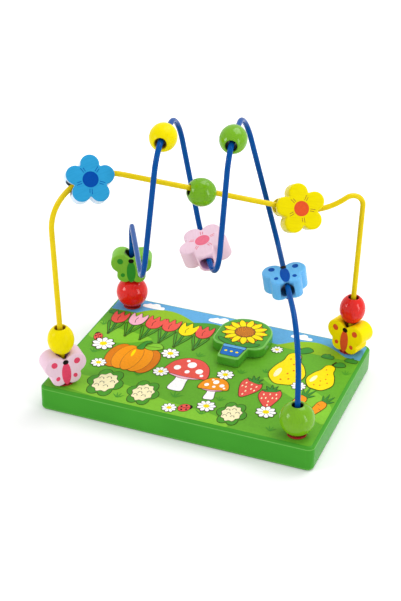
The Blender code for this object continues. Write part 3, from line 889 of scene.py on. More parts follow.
class Tree(Enum):
    """The rules that repeat a shape or run it along a path."""

    WIRE = "wire_along_path"
    RING = "ring_of_shapes"
    SPIRAL = "spiral_of_shapes"
    PLACES = "shape_at_places"

    def group(self) -> NodeTree:
        """The tree, built once."""
        found = bpy.data.node_groups.get(self.value)
        if found is not None:
            return found
        tree = bpy.data.node_groups.new(self.value, "GeometryNodeTree")
        builders = {
            Tree.WIRE: wire_tree,
            Tree.RING: ring_tree,
            Tree.SPIRAL: spiral_tree,
            Tree.PLACES: places_tree,
        }
        builders[self](tree)
        return tree

    def run(self, mesh: Mesh, **inputs: object) -> Mesh:
        """Run the tree on a mesh.

        Args:
            mesh: the geometry that goes in.
            inputs: the tree's named inputs, with spaces written as underscores.

        Returns:
            The plain mesh that comes out.
        """
        group = self.group()
        item = add_object(mesh)
        step = item.modifiers.new(self.value, "NODES")
        step.node_group = group
        for socket in group.interface.items_tree:
            key = socket.name.lower().replace(" ", "_")
            if socket.in_out == "INPUT" and key in inputs:
                step[socket.identifier] = inputs[key]
        return evaluated(item, mesh.name)


def tree_ends(tree: NodeTree, sockets: Sequence[tuple[str, str]]) -> tuple[Node, Node]:
    """Give a tree its geometry in and out, its named inputs and its finish.

    Args:
        tree: the new tree.
        sockets: name and kind of each further input.

    Returns:
        The group input and the group output.
    """
    for name, kind in (("Geometry", "Geometry"), *sockets, ("Finish", "Material")):
        tree.interface.new_socket(name, in_out="INPUT", socket_type=f"NodeSocket{kind}")
    tree.interface.new_socket("Geometry", in_out="OUTPUT", socket_type="NodeSocketGeometry")
    return add_node(tree, "NodeGroupInput"), add_node(tree, "NodeGroupOutput")


def close_tree(tree: NodeTree, start: Node, end: Node, shape: Node) -> None:
    """End a tree in Realize Instances and Set Material."""
    real = add_node(tree, "GeometryNodeRealizeInstances", {"Geometry": shape})
    finish = start.outputs["Finish"]
    dressed = add_node(tree, "GeometryNodeSetMaterial", {"Geometry": real, "Material": finish})
    tree.links.new(dressed.outputs[0], end.inputs[0])


def wire_tree(tree: NodeTree) -> None:
    """A round wire along a polyline, each corner rounded to the point's own bend radius."""
    start, end = tree_ends(tree, (("Diameter", "Float"), ("Bend Steps", "Int"), ("Facets", "Int")))
    radius = add_node(tree, "GeometryNodeInputNamedAttribute", {"Name": "bend"}, data_type="FLOAT")
    line = add_node(tree, "GeometryNodeMeshToCurve", {"Mesh": start.outputs["Geometry"]})
    rounding = {"Curve": line, "Count": start.outputs["Bend Steps"], "Radius": radius}
    bent = add_node(tree, "GeometryNodeFilletCurve", rounding, mode="POLY")
    half = add_node(tree, "ShaderNodeMath", {0: start.outputs["Diameter"], 1: 0.5}, operation="MULTIPLY")
    circle = {"Resolution": start.outputs["Facets"], "Radius": half}
    ring = add_node(tree, "GeometryNodeCurvePrimitiveCircle", circle)
    section = {"Curve": bent, "Profile Curve": ring, "Fill Caps": True}
    close_tree(tree, start, end, add_node(tree, "GeometryNodeCurveToMesh", section))


def ring_tree(tree: NodeTree) -> None:
    """The shape repeated round its origin, each copy a hair above the last."""
    start, end = tree_ends(tree, (("Count", "Int"), ("First Turn", "Float")))
    count = start.outputs["Count"]
    index = add_node(tree, "GeometryNodeInputIndex")
    lift = add_node(tree, "ShaderNodeMath", {0: index, 1: RING_LIFT}, operation="MULTIPLY")
    height = add_node(tree, "ShaderNodeCombineXYZ", {"Z": lift})
    points = add_node(tree, "GeometryNodePoints", {"Count": count, "Position": height})
    step = add_node(tree, "ShaderNodeMath", {0: math.tau, 1: count}, operation="DIVIDE")
    turns = {0: index, 1: step, 2: start.outputs["First Turn"]}
    turn = add_node(tree, "ShaderNodeMath", turns, operation="MULTIPLY_ADD")
    spin = add_node(tree, "ShaderNodeCombineXYZ", {"Z": turn})
    places = {"Points": points, "Instance": start.outputs["Geometry"], "Rotation": spin}
    close_tree(tree, start, end, add_node(tree, "GeometryNodeInstanceOnPoints", places))


def spiral_tree(tree: NodeTree) -> None:
    """The shape repeated on a seed head's spiral, each one a golden angle on from the last."""
    start, end = tree_ends(tree, (("Count", "Int"), ("Spacing", "Float")))
    points = add_node(tree, "GeometryNodePoints", {"Count": start.outputs["Count"]})
    index = add_node(tree, "GeometryNodeInputIndex")
    root = add_node(tree, "ShaderNodeMath", {0: index}, operation="SQRT")
    reach = add_node(tree, "ShaderNodeMath", {0: root, 1: start.outputs["Spacing"]}, operation="MULTIPLY")
    turn = add_node(tree, "ShaderNodeMath", {0: index, 1: GOLDEN_ANGLE}, operation="MULTIPLY")
    out = add_node(tree, "ShaderNodeCombineXYZ", {"X": reach})
    place = add_node(tree, "ShaderNodeVectorRotate", {"Vector": out, "Angle": turn}, rotation_type="Z_AXIS")
    spread = add_node(tree, "GeometryNodeSetPosition", {"Geometry": points, "Position": place})
    spin = add_node(tree, "ShaderNodeCombineXYZ", {"Z": turn})
    places = {"Points": spread, "Instance": start.outputs["Geometry"], "Rotation": spin}
    close_tree(tree, start, end, add_node(tree, "GeometryNodeInstanceOnPoints", places))


def places_tree(tree: NodeTree) -> None:
    """Another object's shape at each vertex, with the vertex's own turn and size."""
    start, end = tree_ends(tree, (("Shape", "Object"),))
    points = add_node(tree, "GeometryNodeMeshToPoints", {"Mesh": start.outputs["Geometry"]})
    shape = add_node(tree, "GeometryNodeObjectInfo", {"Object": start.outputs["Shape"]}).outputs["Geometry"]
    turn = add_node(tree, "GeometryNodeInputNamedAttribute", {"Name": "turn"}, data_type="FLOAT")
    size = add_node(tree, "GeometryNodeInputNamedAttribute", {"Name": "size"}, data_type="FLOAT")
    spin = add_node(tree, "ShaderNodeCombineXYZ", {"Z": turn})
    scale = add_node(tree, "ShaderNodeCombineXYZ", {"X": size, "Y": size, "Z": 1.0})
    places = {"Points": points, "Instance": shape, "Rotation": spin, "Scale": scale}
    close_tree(tree, start, end, add_node(tree, "GeometryNodeInstanceOnPoints", places))


# Ink on a flat face


def prism(shape: BMesh, outline: Outline, level: float, slot: int = 0) -> None:
    """Add a thin closed layer of ink to a bmesh.

    Args:
        shape: the bmesh.
        outline: the layer's outline, anticlockwise.
        level: how many layers it lies above the face.
        slot: its material slot.
    """
    low = [shape.verts.new((point.x, point.y, level * LAYER)) for point in outline]
    high = [shape.verts.new((point.x, point.y, (level + 1) * LAYER)) for point in outline]
    faces = bridge(shape, low, high)
    for a, b, c in tessellate_polygon([outline]):
        normal = (outline[b] - outline[a]).cross(outline[c] - outline[a])
        order = (a, b, c) if normal.z > 0 else (c, b, a)
        faces.append(shape.faces.new([high[index] for index in order]))
        faces.append(shape.faces.new([low[index] for index in reversed(order)]))
    for face in faces:
        face.material_index = slot


def ink_shape(name: str, outline: Outline, level: int) -> Mesh:
    """A small mesh of one ink layer, for a tree to repeat."""
    shape = bmesh.new()
    prism(shape, outline, level)
    return mesh_from(shape, name)


@dataclass
class InkSheet:
    """The ink shapes printed on one flat face, in layers from the face up."""

    shapes: list[tuple[Ink, Outline, int]] = field(default_factory=list)

    def fill(self, ink: Ink, outline: Outline, level: int) -> None:
        """Print a plain shape."""
        self.shapes.append((ink, outline, level))

    def lined(self, ink: Ink, outline: Outline, level: int, line: float = PEN, edge: Ink = Ink.LINE) -> None:
        """Print a shape over a slightly larger one in the outline's ink."""
        self.fill(edge, grown(outline, line), level)
        self.fill(ink, outline, level + 1)

    def stroke(self, ink: Ink, path: Places, width: float, level: int) -> None:
        """Print a brush stroke."""
        self.fill(ink, ribbon(path, width), level)

    def steps(self) -> list[int]:
        """How many steps each shape is raised in its layer to lie above the ones there that it overlaps."""
        steps: list[int] = []
        for index, (_, outline, level) in enumerate(self.shapes):
            step = 0
            for other, (_, below, its_level) in enumerate(self.shapes[:index]):
                if its_level == level and steps[other] >= step and meets(outline, below):
                    step = steps[other] + 1
            steps.append(step)
        return steps

    def mesh(self, name: str) -> Mesh:
        """The whole sheet as one mesh with a material slot for each ink."""
        inks = sorted({ink for ink, _, _ in self.shapes}, key=lambda ink: ink.name)
        shape = bmesh.new()
        for (ink, outline, level), step in zip(self.shapes, self.steps()):
            prism(shape, outline, level + step * SHAPE_LIFT, inks.index(ink))
        mesh = mesh_from(shape, name)
        for ink in inks:
            mesh.materials.append(ink_finish(ink))
        return mesh


# The board lies at a slant to the eye, so its pictures are drawn this much taller than they look
TALLER = 1.4

# Width of the line round a fan of leaves, and how many times as far it runs out past their tips
LEAF_LINE = 0.4
LINE_PAST_TIP = 1.4


@dataclass(frozen=True)
class Motif:
    """A printed picture of one plant or thing at a place on the board."""

    x: float
    y: float
    size: float = 1.0
    turn: float = 0.0

    def at(self, outline: Outline) -> Outline:
        """An outline of the motif put in its place."""
        turned = moved(outline, 0, 0, self.size, self.turn)
        return [Vector((self.x + point.x, self.y + point.y * TALLER, 0)) for point in turned]

    def path(self, places: Places) -> list[tuple[float, float]]:
        """A path of the motif put in its place."""
        return [(point.x, point.y) for point in self.at(flat(places))]

    def draw(self, sheet: InkSheet, level: int) -> None:
        """Print the motif on a sheet."""
        raise NotImplementedError

    def draw_leaves(
        self,
        sheet: InkSheet,
        level: int,
        y: float,
        leaves: Places,
        shape: tuple[float, float, float],
    ) -> None:
        """Print a fan of leaves over a slightly larger one in the outline's ink.

        Args:
            sheet: the sheet to print on.
            level: the outline's layer.
            y: the height of the fan's foot in the picture.
            leaves: each leaf's turn and length.
            shape: the fan's valley, and half its foot's and half a leaf's width.
        """
        valley, foot, width = shape
        for step, (ink, line) in enumerate(((Ink.LINE, LEAF_LINE), (Ink.LEAF, 0.0))):
            longer = [(turn, length + line * LINE_PAST_TIP) for turn, length in leaves]
            outline = fan(longer, valley + line, foot + line, width + line / 2)
            sheet.fill(ink, self.at(moved(outline, 0, y)), level + step)


@dataclass(frozen=True)
class Pumpkin(Motif):
    """An orange pumpkin with ribs, a stalk and a curling leaf."""

    def draw(self, sheet: InkSheet, level: int) -> None:
        """Print the ribs from the outside in."""
        pairs = ((8.5, 6.0, Ink.AMBER), (4.2, 6.2, Ink.ORANGE))
        ribs = [(side * x, width, ink) for x, width, ink in pairs for side in (-1, 1)]
        for x, width, _ in ribs:
            sheet.fill(Ink.LINE, grown(self.at(oval(x, 0, width, 8.6)), 0.6), level)
        for step, (x, width, ink) in enumerate(ribs):
            rib = self.at(oval(x, 0, width, 8.6))
            sheet.lined(ink, rib, level + 1 + step // 2 * 2, FINE_PEN, Ink.BROWN)
        sheet.lined(Ink.ORANGE, self.at(oval(0, -0.2, 4.6, 8.6)), level + 5, FINE_PEN, Ink.BROWN)
        sheet.fill(Ink.YELLOW, self.at(oval(-1.6, 3.6, 0.8, 2.6, 8)), level + 7)
        stalk = smooth(((-1.8, 7.5), (1.8, 7.5), (1.5, 11.5), (3.6, 13.6), (0.2, 13.4)))
        sheet.lined(Ink.LEAF, self.at(stalk), level + 6)
        leaf = smooth(((2.0, 9.0), (6.5, 8.0), (11.5, 10.5), (9.0, 13.2), (5.0, 12.6)))
        sheet.lined(Ink.LAWN, self.at(leaf), level + 6)
        sheet.stroke(Ink.LINE, self.path(((2.6, 9.6), (6.0, 10.4), (10.0, 10.9))), 0.4, level + 8)


@dataclass(frozen=True)
class Mushroom(Motif):
    """A round-capped mushroom with pale dots and a stout stalk."""

    cap: Ink = Ink.CORAL

    def draw(self, sheet: InkSheet, level: int) -> None:
        """Print the stalk, then the cap over it, then its dots."""
        stalk = smooth(((-3.6, -9.5), (0, -10.4), (3.6, -9.5), (2.9, -4), (2.8, 1), (-2.8, 1), (-2.9, -4)))
        sheet.lined(Ink.CLOUD, self.at(stalk), level)
        gills = smooth(((-9, -0.6), (0, -2.6), (9, -0.6), (7, 1.4), (-7, 1.4)))
        sheet.lined(Ink.PINK, self.at(gills), level + 1)
        right = ((6, -0.9), (11, 0), (9.4, 6), (5, 9.6))
        sheet.lined(self.cap, self.at(mirrored(-1.2, right, 10.6)), level + 2)
        dots = [(-5.6, 3.2, 1.7), (0.3, 6.4, 2.2), (5.6, 3.4, 1.8)]
        dots += [(0.2, 1.8, 1.2), (-2.6, 8.4, 0.9), (7.9, 1.2, 0.9)]
        for x, y, radius in dots:
            sheet.fill(Ink.CLOUD, self.at(oval(x, y, radius, radius * 0.86)), level + 4)


@dataclass(frozen=True)
class Tulip(Motif):
    """A tulip with two long leaves."""

    bloom: Ink = Ink.CORAL

    def draw(self, sheet: InkSheet, level: int) -> None:
        """Print the stalk and leaves, then the cup."""
        stalk = self.path(((0, -10), (0.3, -4), (0, 1)))
        sheet.stroke(Ink.LINE, stalk, 2.2, level)
        sheet.stroke(Ink.LEAF, stalk, 1.3, level + 1)
        for side in (-1, 1):
            leaf = [(0, -10), (side * 1.6, -7), (side * 4.2, -2.0), (side * 4.6, 0.8), (side * 2.3, -3.4)]
            sheet.lined(Ink.SHADE, self.at(smooth(leaf if side > 0 else leaf[::-1])), level + 1)
        right = ((3.8, 1.4), (4.9, 5.4), (4.2, 9.0), (2.0, 6.3))
        sheet.lined(self.bloom, self.at(mirrored(-0.4, right, 9.4)), level + 3)
        sheet.stroke(Ink.LINE, self.path(((0, 1.4), (-0.7, 3.6), (-0.2, 5.8))), 0.4, level + 5)


@dataclass(frozen=True)
class Strawberry(Motif):
    """A strawberry with pale seeds and a leafy cap."""

    def draw(self, sheet: InkSheet, level: int) -> None:
        """Print the fruit, its seeds and its leaves."""
        right = ((3.6, -4.2), (6, 0.6), (5.4, 4.2), (2.4, 5.6))
        sheet.lined(Ink.CORAL, self.at(mirrored(-8, right, 5)), level)
        seeds = [(0, 2.2), (0, -3.2), (0, -5.8)]
        for side in (-1, 1):
            seeds += [(side * 3.4, 2), (side * 1.8, -0.6), (side * 4, -0.8)]
        for x, y in seeds:
            sheet.fill(Ink.CREAM, self.at(oval(x, y, 0.42, 0.66, 0, 10)), level + 2)
        leaves = [(turn, 5.2) for turn in (-72, -36, 0, 36, 72)]
        self.draw_leaves(sheet, level + 2, 3.8, leaves, (1.9, 0.8, 0.7))


@dataclass(frozen=True)
class Carrot(Motif):
    """A carrot with feathery leaves."""

    def draw(self, sheet: InkSheet, level: int) -> None:
        """Print the leaves, the root and its rings."""
        leaves = ((-42, 7.5), (-14, 9.5), (14, 9.5), (42, 7.5))
        self.draw_leaves(sheet, level, 7.4, leaves, (2.6, 1.0, 0.78))
        right = ((1.7, -6), (3.2, 1), (3.6, 6), (2.2, 8.4))
        sheet.lined(Ink.ORANGE, self.at(mirrored(-13, right, 8.8)), level + 2)
        for x0, x1, y in ((-3.2, -0.6, 5), (0.8, 3, 2), (-2.6, -0.4, -1), (0.2, 1.8, -4.2), (-1.3, 0.2, -7)):
            sheet.stroke(Ink.BROWN, self.path(((x0, y), (x1, y - 0.3))), 0.5, level + 4)


@dataclass(frozen=True)
class Cauliflower(Motif):
    """A cream cauliflower head in a ring of leaves."""

    def draw(self, sheet: InkSheet, level: int) -> None:
        """Print the leaves, then the head and its curls."""
        for angle in range(-150, 180, 60):
            leaf = mirrored(2.5, ((3.8, 5.5), (3.0, 9.2)), 10.8)
            sheet.lined(Ink.SHADE, self.at(moved(leaf, 0, 0, 1, angle)), level)
        bumps = 9
        circle = oval(0, 0, 1, 1, 0, 2 * bumps)
        ring = [point * (7.4 if index % 2 else 6.3) for index, point in enumerate(circle)]
        sheet.lined(Ink.CREAM, self.at(smooth([(p.x, p.y) for p in ring], 5)), level + 2)
        for x, y in ((-3.6, 2.4), (0.4, 3.8), (3.9, 1.4), (-1.6, -0.6), (2.0, -2.6), (-3.6, -3.0)):
            curl = ((x - 1.5, y - 0.5), (x - 0.9, y + 0.8), (x + 0.7, y + 0.8), (x + 1.4, y - 0.4))
            sheet.stroke(Ink.LINE, self.path(curl), 0.45, level + 4)


@dataclass(frozen=True)
class Pear(Motif):
    """A yellow pear with freckles, a stalk and a leaf."""

    def draw(self, sheet: InkSheet, level: int) -> None:
        """Print the stalk and the leaf, then the fruit, its lit side and its freckles."""
        sheet.stroke(Ink.LINE, self.path(((0, 8.5), (0.3, 11), (1.3, 13.4))), 1.5, level)
        leaf = smooth(((0.8, 10.6), (3.6, 10.0), (7.6, 12.0), (5.2, 14.2), (2.4, 13.4)))
        sheet.lined(Ink.LEAF, self.at(leaf), level)
        right = ((4.6, -9.6), (8.2, -4.6), (6.6, 0.8), (3.9, 4.6), (2.9, 8.4))
        sheet.lined(Ink.YELLOW, self.at(mirrored(-10.4, right, 9.8)), level + 2, BROAD_PEN)
        sheet.fill(Ink.CREAM, self.at(oval(-4.4, -3.4, 1.3, 2.9, -14)), level + 4)
        freckles = [(1.6, -6.8), (4.6, -3.8), (2.4, -1.4), (0.2, -3.6)]
        freckles += [(1.4, 2.4), (-1.0, 5.6), (-1.8, -7.6)]
        for x, y in freckles:
            sheet.fill(Ink.AMBER, self.at(oval(x, y, 0.5, 0.5, 0, 10)), level + 4)


@dataclass(frozen=True)
class Cloud(Motif):
    """A flat-bottomed cloud."""

    def draw(self, sheet: InkSheet, level: int) -> None:
        """Print the cloud with no outline."""
        low = ((-10, 0), (0, -0.6), (10, 0), (11.5, 2), (9.5, 3.8))
        high = ((6.5, 3.6), (4.5, 6), (0.5, 6.8), (-3, 5), (-5.4, 5.6), (-8, 4.2), (-11.4, 2.6))
        sheet.fill(Ink.CLOUD, self.at(smooth(low + high)), level)


@dataclass(frozen=True)
class Bush(Motif):
    """A low round bush of the hedge."""

    def draw(self, sheet: InkSheet, level: int) -> None:
        """Print the bush and its lit side."""
        low = ((-6, 0), (0, -0.6), (6, 0), (6.6, 2.6), (4.4, 4.6))
        high = ((2.4, 4.4), (0.6, 6.2), (-2.2, 5), (-4.4, 5), (-6.6, 2.6))
        sheet.lined(Ink.LEAF, self.at(smooth(low + high)), level, FINE_PEN)
        sheet.fill(Ink.SHADE, self.at(oval(-1.6, 3.0, 2.4, 1.2, 12)), level + 2)


@dataclass(frozen=True)
class Ladybird(Motif):
    """A small spotted beetle."""

    def draw(self, sheet: InkSheet, level: int) -> None:
        """Print the head, the wing cases and the spots."""
        sheet.fill(Ink.BLACK, self.at(oval(3.0, 0, 1.5, 1.6, 0, 18)), level)
        sheet.lined(Ink.CORAL, self.at(oval(0, 0, 3.3, 2.6, 0, 24)), level + 1, FINE_PEN, Ink.BLACK)
        sheet.stroke(Ink.BLACK, self.path(((-3.3, 0), (0, 0), (3.0, 0))), 0.4, level + 3)
        for x, y in ((-1.4, 1.2), (1.2, 1.3), (-1.4, -1.2), (1.2, -1.3)):
            sheet.fill(Ink.BLACK, self.at(oval(x, y, 0.55, 0.55, 0, 12)), level + 3)


# The board

# A corner of a cut outline is dropped when twice its triangle's area comes to less than this, in mm2
FLAT_CORNER = 1e-6

# The sky is drawn at this share of its size, so that none of its edges lies on the meadow's
SKY_SHARE = 0.9995

# The layers in which the clouds and the plants begin
CLOUD_LEVEL = 4
PLANT_LEVEL = 5

# The sunflower's petals in a ring, its seeds and how far they lie apart
SUN_PETALS = 13
SEEDS = 70
SEED_SPACING = 0.82


@dataclass
class Board:
    """The lacquered board, its printed garden and the raised sunflower block with its dowels."""

    length: float = 210.0
    width: float = 147.0
    height: float = 20.0
    corner: float = 5.0
    least_corner: float = 1.0
    edge: float = 2.5
    edge_facets: int = 8

    # The painted highlight line and the start of the painted shade are measured up from the rounding's foot,
    # and the end of that shade and the block's painted highlight line down from the top
    highlight_from: float = 0.1
    highlight_to: float = 0.6
    shade_from: float = 0.9
    shade_end: float = 0.02
    block_highlight_from: float = 1.1
    block_highlight_to: float = 0.05

    print_margin: float = 2.3
    block_place: tuple[float, float] = (13.0, 33.5)
    block_thickness: float = 8.0
    block_edge: float = 1.5
    block_edge_facets: int = 6
    block_height: float = 60.0
    crown_width: float = 42.0
    crown_height: float = 43.0
    pot_top: float = 20.0
    pot_foot: float = 17.0
    neck_rise: float = 2.0
    block_radii: tuple[float, ...] = (3.0, 1.5, 9.0, 20.0)
    body: str = "maze_frame"

    def rectangle(self, inset: float) -> Outline:
        """The board's outline moved inwards."""
        x = self.length / 2 - inset
        y = self.width / 2 - inset
        corners = [Vector((-x, -y, 0)), Vector((x, -y, 0)), Vector((x, y, 0)), Vector((-x, y, 0))]
        return rounded_outline(corners, [max(self.corner - inset, self.least_corner)] * 4)

    def build(self) -> None:
        """Build the board and all that is printed or fixed on it."""
        mesh = slab_mesh("base_board", self.rectangle(0), self.height, self.edge, self.edge_facets)
        half = self.height / 2
        foot = half - self.edge
        # The edge band carries the board's painted highlight line, and the rounding band its painted shade
        band_attribute(mesh, "edge", foot + self.highlight_from, foot + self.highlight_to)
        band_attribute(mesh, "rounding", foot + self.shade_from, half - self.shade_end)
        mesh.materials.append(BOARD_GREEN.material())
        shade(mesh)
        place = Matrix.Translation((0, 0, half))
        put("lacquered_board", mesh, place, self.body, ["base_board"])
        self.print_garden()
        self.build_block()
        for node in ("block_dowel_1", "block_dowel_2"):
            dowel = bpy.data.objects[node]
            dowel.data.materials.clear()
            dowel.data.materials.append(DOWEL_BEECH.material())

    def print_garden(self) -> None:
        """Print the garden picture on the board's top."""
        top = Matrix.Translation((0, 0, self.height))
        sheet = InkSheet()
        self.draw_ground(sheet)
        self.draw_motifs(sheet)
        put("garden_print", sheet.mesh("garden_print"), top, self.body)
        self.print_grass(top)
        self.print_daisies(top)

    def kept_on(self, outline: Outline) -> Outline:
        """An outline cut off where the print ends."""
        x = self.length / 2 - self.print_margin
        y = self.width / 2 - self.print_margin
        cut = [Vector((max(-x, min(x, p.x)), max(-y, min(y, p.y)), 0)) for p in outline]
        kept: Outline = []
        for index, here in enumerate(cut):
            back = cut[index - 1] - here
            ahead = cut[(index + 1) % len(cut)] - here
            if abs(back.cross(ahead).z) > FLAT_CORNER:
                kept.append(here)
        return kept

    def draw_ground(self, sheet: InkSheet) -> None:
        """Print the meadow, the sky band, the hills and the lawn."""
        x = self.length / 2 - self.print_margin
        y = self.width / 2 - self.print_margin
        sheet.fill(Ink.MEADOW, self.rectangle(self.print_margin), 0)
        corner = self.corner - self.print_margin
        sky = [(-x, 50.0), (-70, 51.5), (-35, 49), (0, 50.5), (40, 48), (75, 50.5), (x, 49)]
        sky += [(x, y - corner), (x - corner, y), (corner - x, y), (-x, y - corner)]
        sheet.fill(Ink.SKY, moved(flat(sky), 0, 0, SKY_SHARE), 1)
        far_left = ((-84, 47), (-60, 46), (-28, 47), (-34, 54), (-48, 61.5), (-60, 63), (-72, 59), (-80, 52))
        far_right = ((38, 46), (62, 45), (92, 46), (86, 53), (74, 60), (63, 61.5), (50, 57), (42, 51))
        near = ((-44, 46), (-20, 45), (6, 46), (0, 51), (-10, 56.5), (-20, 57.6), (-32, 54), (-40, 50))
        # Some corners of the lawn stay a hair inside the print's edge
        hair = 0.2
        front = [(-x, -62), (-60, -y), (0, -y), (40, -y + hair), (26, -60)]
        front += [(-6, -57), (-40, -49), (-72, -47), (-x, -51)]
        right = [(x - hair, -42), (x - hair, -22), (88, -6), (66, 2), (44, 0)]
        right += [(52, -8), (74, -20), (90, -36)]
        left = [(-x + hair, 6), (-84, 2), (-66, 8), (-54, 18), (-70, 22), (-90, 24), (-x + hair, 28)]
        for ink, level, ground in (
            (Ink.HILL, 2, far_left),
            (Ink.HILL, 2, far_right),
            (Ink.SHADE, 3, near),
            (Ink.LAWN, 2, front),
            (Ink.LAWN, 2, right),
            (Ink.LAWN, 2, left),
        ):
            sheet.fill(ink, self.kept_on(smooth(ground)), level)

    def draw_motifs(self, sheet: InkSheet) -> None:
        """Print the plants, fruit and small things, from the back to the front."""
        for cloud in (Cloud(-72, 62, 0.8), Cloud(-14, 60.5, 0.9), Cloud(52, 62, 0.75)):
            cloud.draw(sheet, CLOUD_LEVEL)
        for motif in (
            Tulip(-90, 31, 1.3, 4),
            Tulip(-76, 33, 1.35, 2, Ink.PINK),
            Tulip(-62, 33, 1.4, -3),
            Tulip(-48, 34, 1.35, 2),
            Tulip(-34, 33, 1.4, -2, Ink.YELLOW),
            Tulip(-20, 34, 1.35, 3),
            Pear(57, 19, 1.6, 8),
            Pear(84, 17, 1.25, -6),
            Pumpkin(-57, -13, 1.4),
            Mushroom(-12, -19, 1.55),
            Mushroom(14, -29, 1.0, 8, Ink.ORANGE),
            Strawberry(38, -17, 1.3, -12),
            Strawberry(56, -24, 1.3, 14),
            Carrot(76, -26, 1.1, -20),
            Carrot(92, -27, 1.0, -20),
            Cauliflower(-62, -51, 1.25),
            Cauliflower(-31, -53, 1.1),
            Cauliflower(38, -54, 1.0),
            Ladybird(4, -60, 1.3, 24),
            Ladybird(-94, 6, 1.2, 130),
        ):
            motif.draw(sheet, PLANT_LEVEL)
        for x in (-97, 79, 97):
            Bush(x, 43.5 + 0.9 * math.sin(x), 0.7).draw(sheet, PLANT_LEVEL)

    def print_grass(self, top: Matrix) -> None:
        """Print a few tufts of grass on the bare parts of the meadow."""
        blades = fan(((-46, 4.0), (-15, 4.3), (13, 4.6), (43, 4.0)), 1.0, 0.5, 0.34)
        tuft = add_object(ink_shape("tuft", blades, 4))
        places = [
            (-88, -16, 0.1, 1.7), (-12, 8, -0.1, 1.6), (-44, -33, 0.2, 1.5), (-8, -50, 0.0, 1.9),
            (18, -63, 0.2, 1.8), (-46, -66, 0.1, 1.6), (58, -50, -0.2, 1.7), (70, -64, 0.1, 1.5),
            (26, -2, 0.1, 1.5), (42, 6, -0.1, 1.4), (98, 26, 0.0, 1.4), (-98, 24, 0.2, 1.3),
            (24, -42, 0.1, 1.4),
        ]
        mesh = Tree.PLACES.run(place_points(places), shape=tuft, finish=ink_finish(Ink.SHADE))
        bpy.data.objects.remove(tuft, do_unlink=True)
        put("grass_print", mesh, top, self.body)

    def print_daisies(self, top: Matrix) -> None:
        """Print daisies: a ring of petals over a dark edge, with a yellow eye."""
        places = [
            (-86, -2, 0.2, 1.9), (-30, -22, 0.9, 1.3), (-33, 4, 0.5, 1.5), (16, -8, 0.1, 1.4),
            (60, -43, 0.7, 1.6), (-6, -64, 0.3, 1.2), (-78, -28, 0.8, 1.3), (71, -2, 0.4, 1.2),
            (40, 40, 0.6, 1.0), (18, -52, 0.1, 1.5),
        ]
        petal = mirrored(0.6, ((0.68, 2.2), (1.0, 3.6)), 4.6, 4)
        for name, ink, outline, level, count in (
            ("daisy_edge_print", Ink.LINE, grown(petal, FINE_PEN), 8, 9),
            ("daisy_petal_print", Ink.CLOUD, petal, 9, 9),
            ("daisy_eye_print", Ink.YELLOW, oval(0, 0, 1.5, 1.5, 0, 18), 10, 1),
        ):
            finish = ink_finish(ink)
            shape = ink_shape(name, outline, level)
            ring = Tree.RING.run(shape, count=count, first_turn=0.0, finish=finish)
            bloom = add_object(ring)
            mesh = Tree.PLACES.run(place_points(places), shape=bloom, finish=finish)
            bpy.data.objects.remove(bloom, do_unlink=True)
            put(name, mesh, top, self.body)

    def block_outline(self) -> Outline:
        """The raised block's outline: a round crown on a pot."""
        half_crown = self.crown_width / 2
        half_rim = self.pot_top / 2
        half_foot = self.pot_foot / 2
        top = self.block_height / 2
        neck = top - self.crown_height
        right = [(half_foot, -top), (half_rim, neck)]
        right += [(half_crown, neck + self.neck_rise), (half_crown, top)]
        left = [(-x, y) for x, y in reversed(right)]
        return rounded_outline(flat(right + left), self.block_radii + self.block_radii[::-1])

    def build_block(self) -> None:
        """Build the raised block and print its sunflower."""
        sizes = (self.block_thickness, self.block_edge, self.block_edge_facets)
        mesh = slab_mesh("plant_block", self.block_outline(), *sizes)
        half = self.block_thickness / 2
        # The edge band carries a painted highlight line along the block's rims
        band_attribute(mesh, "edge", half - self.block_highlight_from, half - self.block_highlight_to)
        mesh.materials.append(BLOCK_GREEN.material())
        shade(mesh)
        low = self.height + FIT_GAP
        place = Matrix.Translation((*self.block_place, low + half))
        put("sunflower_block", mesh, place, self.body, ["plant_block"])
        face = Matrix.Translation((*self.block_place, low + self.block_thickness))
        self.print_sunflower(face)

    def print_sunflower(self, face: Matrix) -> None:
        """Print the pot and leaves, then the petals and the seed head."""
        head = Vector((0, 9.0, 0))
        sheet = InkSheet()
        pot = ((-8.6, -13.6), (-7.0, -27.0), (7.0, -27.0), (8.6, -13.6))
        sheet.lined(Ink.BLUE, rounded_outline(flat(pot), (1, 2, 2, 1)), 0)
        rim = ((-8.8, -15.8), (8.8, -15.8), (9.0, -12.6), (-9.0, -12.6))
        sheet.lined(Ink.SKY, rounded_outline(flat(rim), (0.8, 0.8, 0.8, 0.8)), 2)
        for x in (-4.4, 0.0, 4.4):
            sheet.fill(Ink.YELLOW, oval(x, -21.2, 1.1, 1.1, 0, 16), 2)
        for side in (-1, 1):
            leaf = [(0, -11.5), (side * 7, -11.6), (side * 14, -8.4), (side * 16.2, -4.2), (side * 8, -6.6)]
            sheet.lined(Ink.LEAF, smooth(leaf if side > 0 else leaf[::-1]), 2)
        sheet.fill(Ink.LINE, oval(head.x, head.y, 8.1, 8.1, 0, 40), 6)
        sheet.fill(Ink.BROWN, oval(head.x, head.y, 7.6, 7.6, 0, 40), 7)
        put("sunflower_print", sheet.mesh("sunflower_print"), face, self.body)
        middle = face @ Matrix.Translation(head)
        petal = mirrored(5.5, ((2.1, 9.5), (2.2, 14.0)), 17.6)
        small = mirrored(5.5, ((1.9, 9.0), (1.6, 12.6)), 15.2)
        between = math.pi / SUN_PETALS
        for name, ink, outline, level, first in (
            ("back_petal_edge_print", Ink.LINE, grown(small, PEN), 2, between),
            ("back_petal_print", Ink.AMBER, small, 3, between),
            ("petal_edge_print", Ink.LINE, grown(petal, PEN), 4, 0.0),
            ("petal_print", Ink.YELLOW, petal, 5, 0.0),
        ):
            shape = ink_shape(name, outline, level)
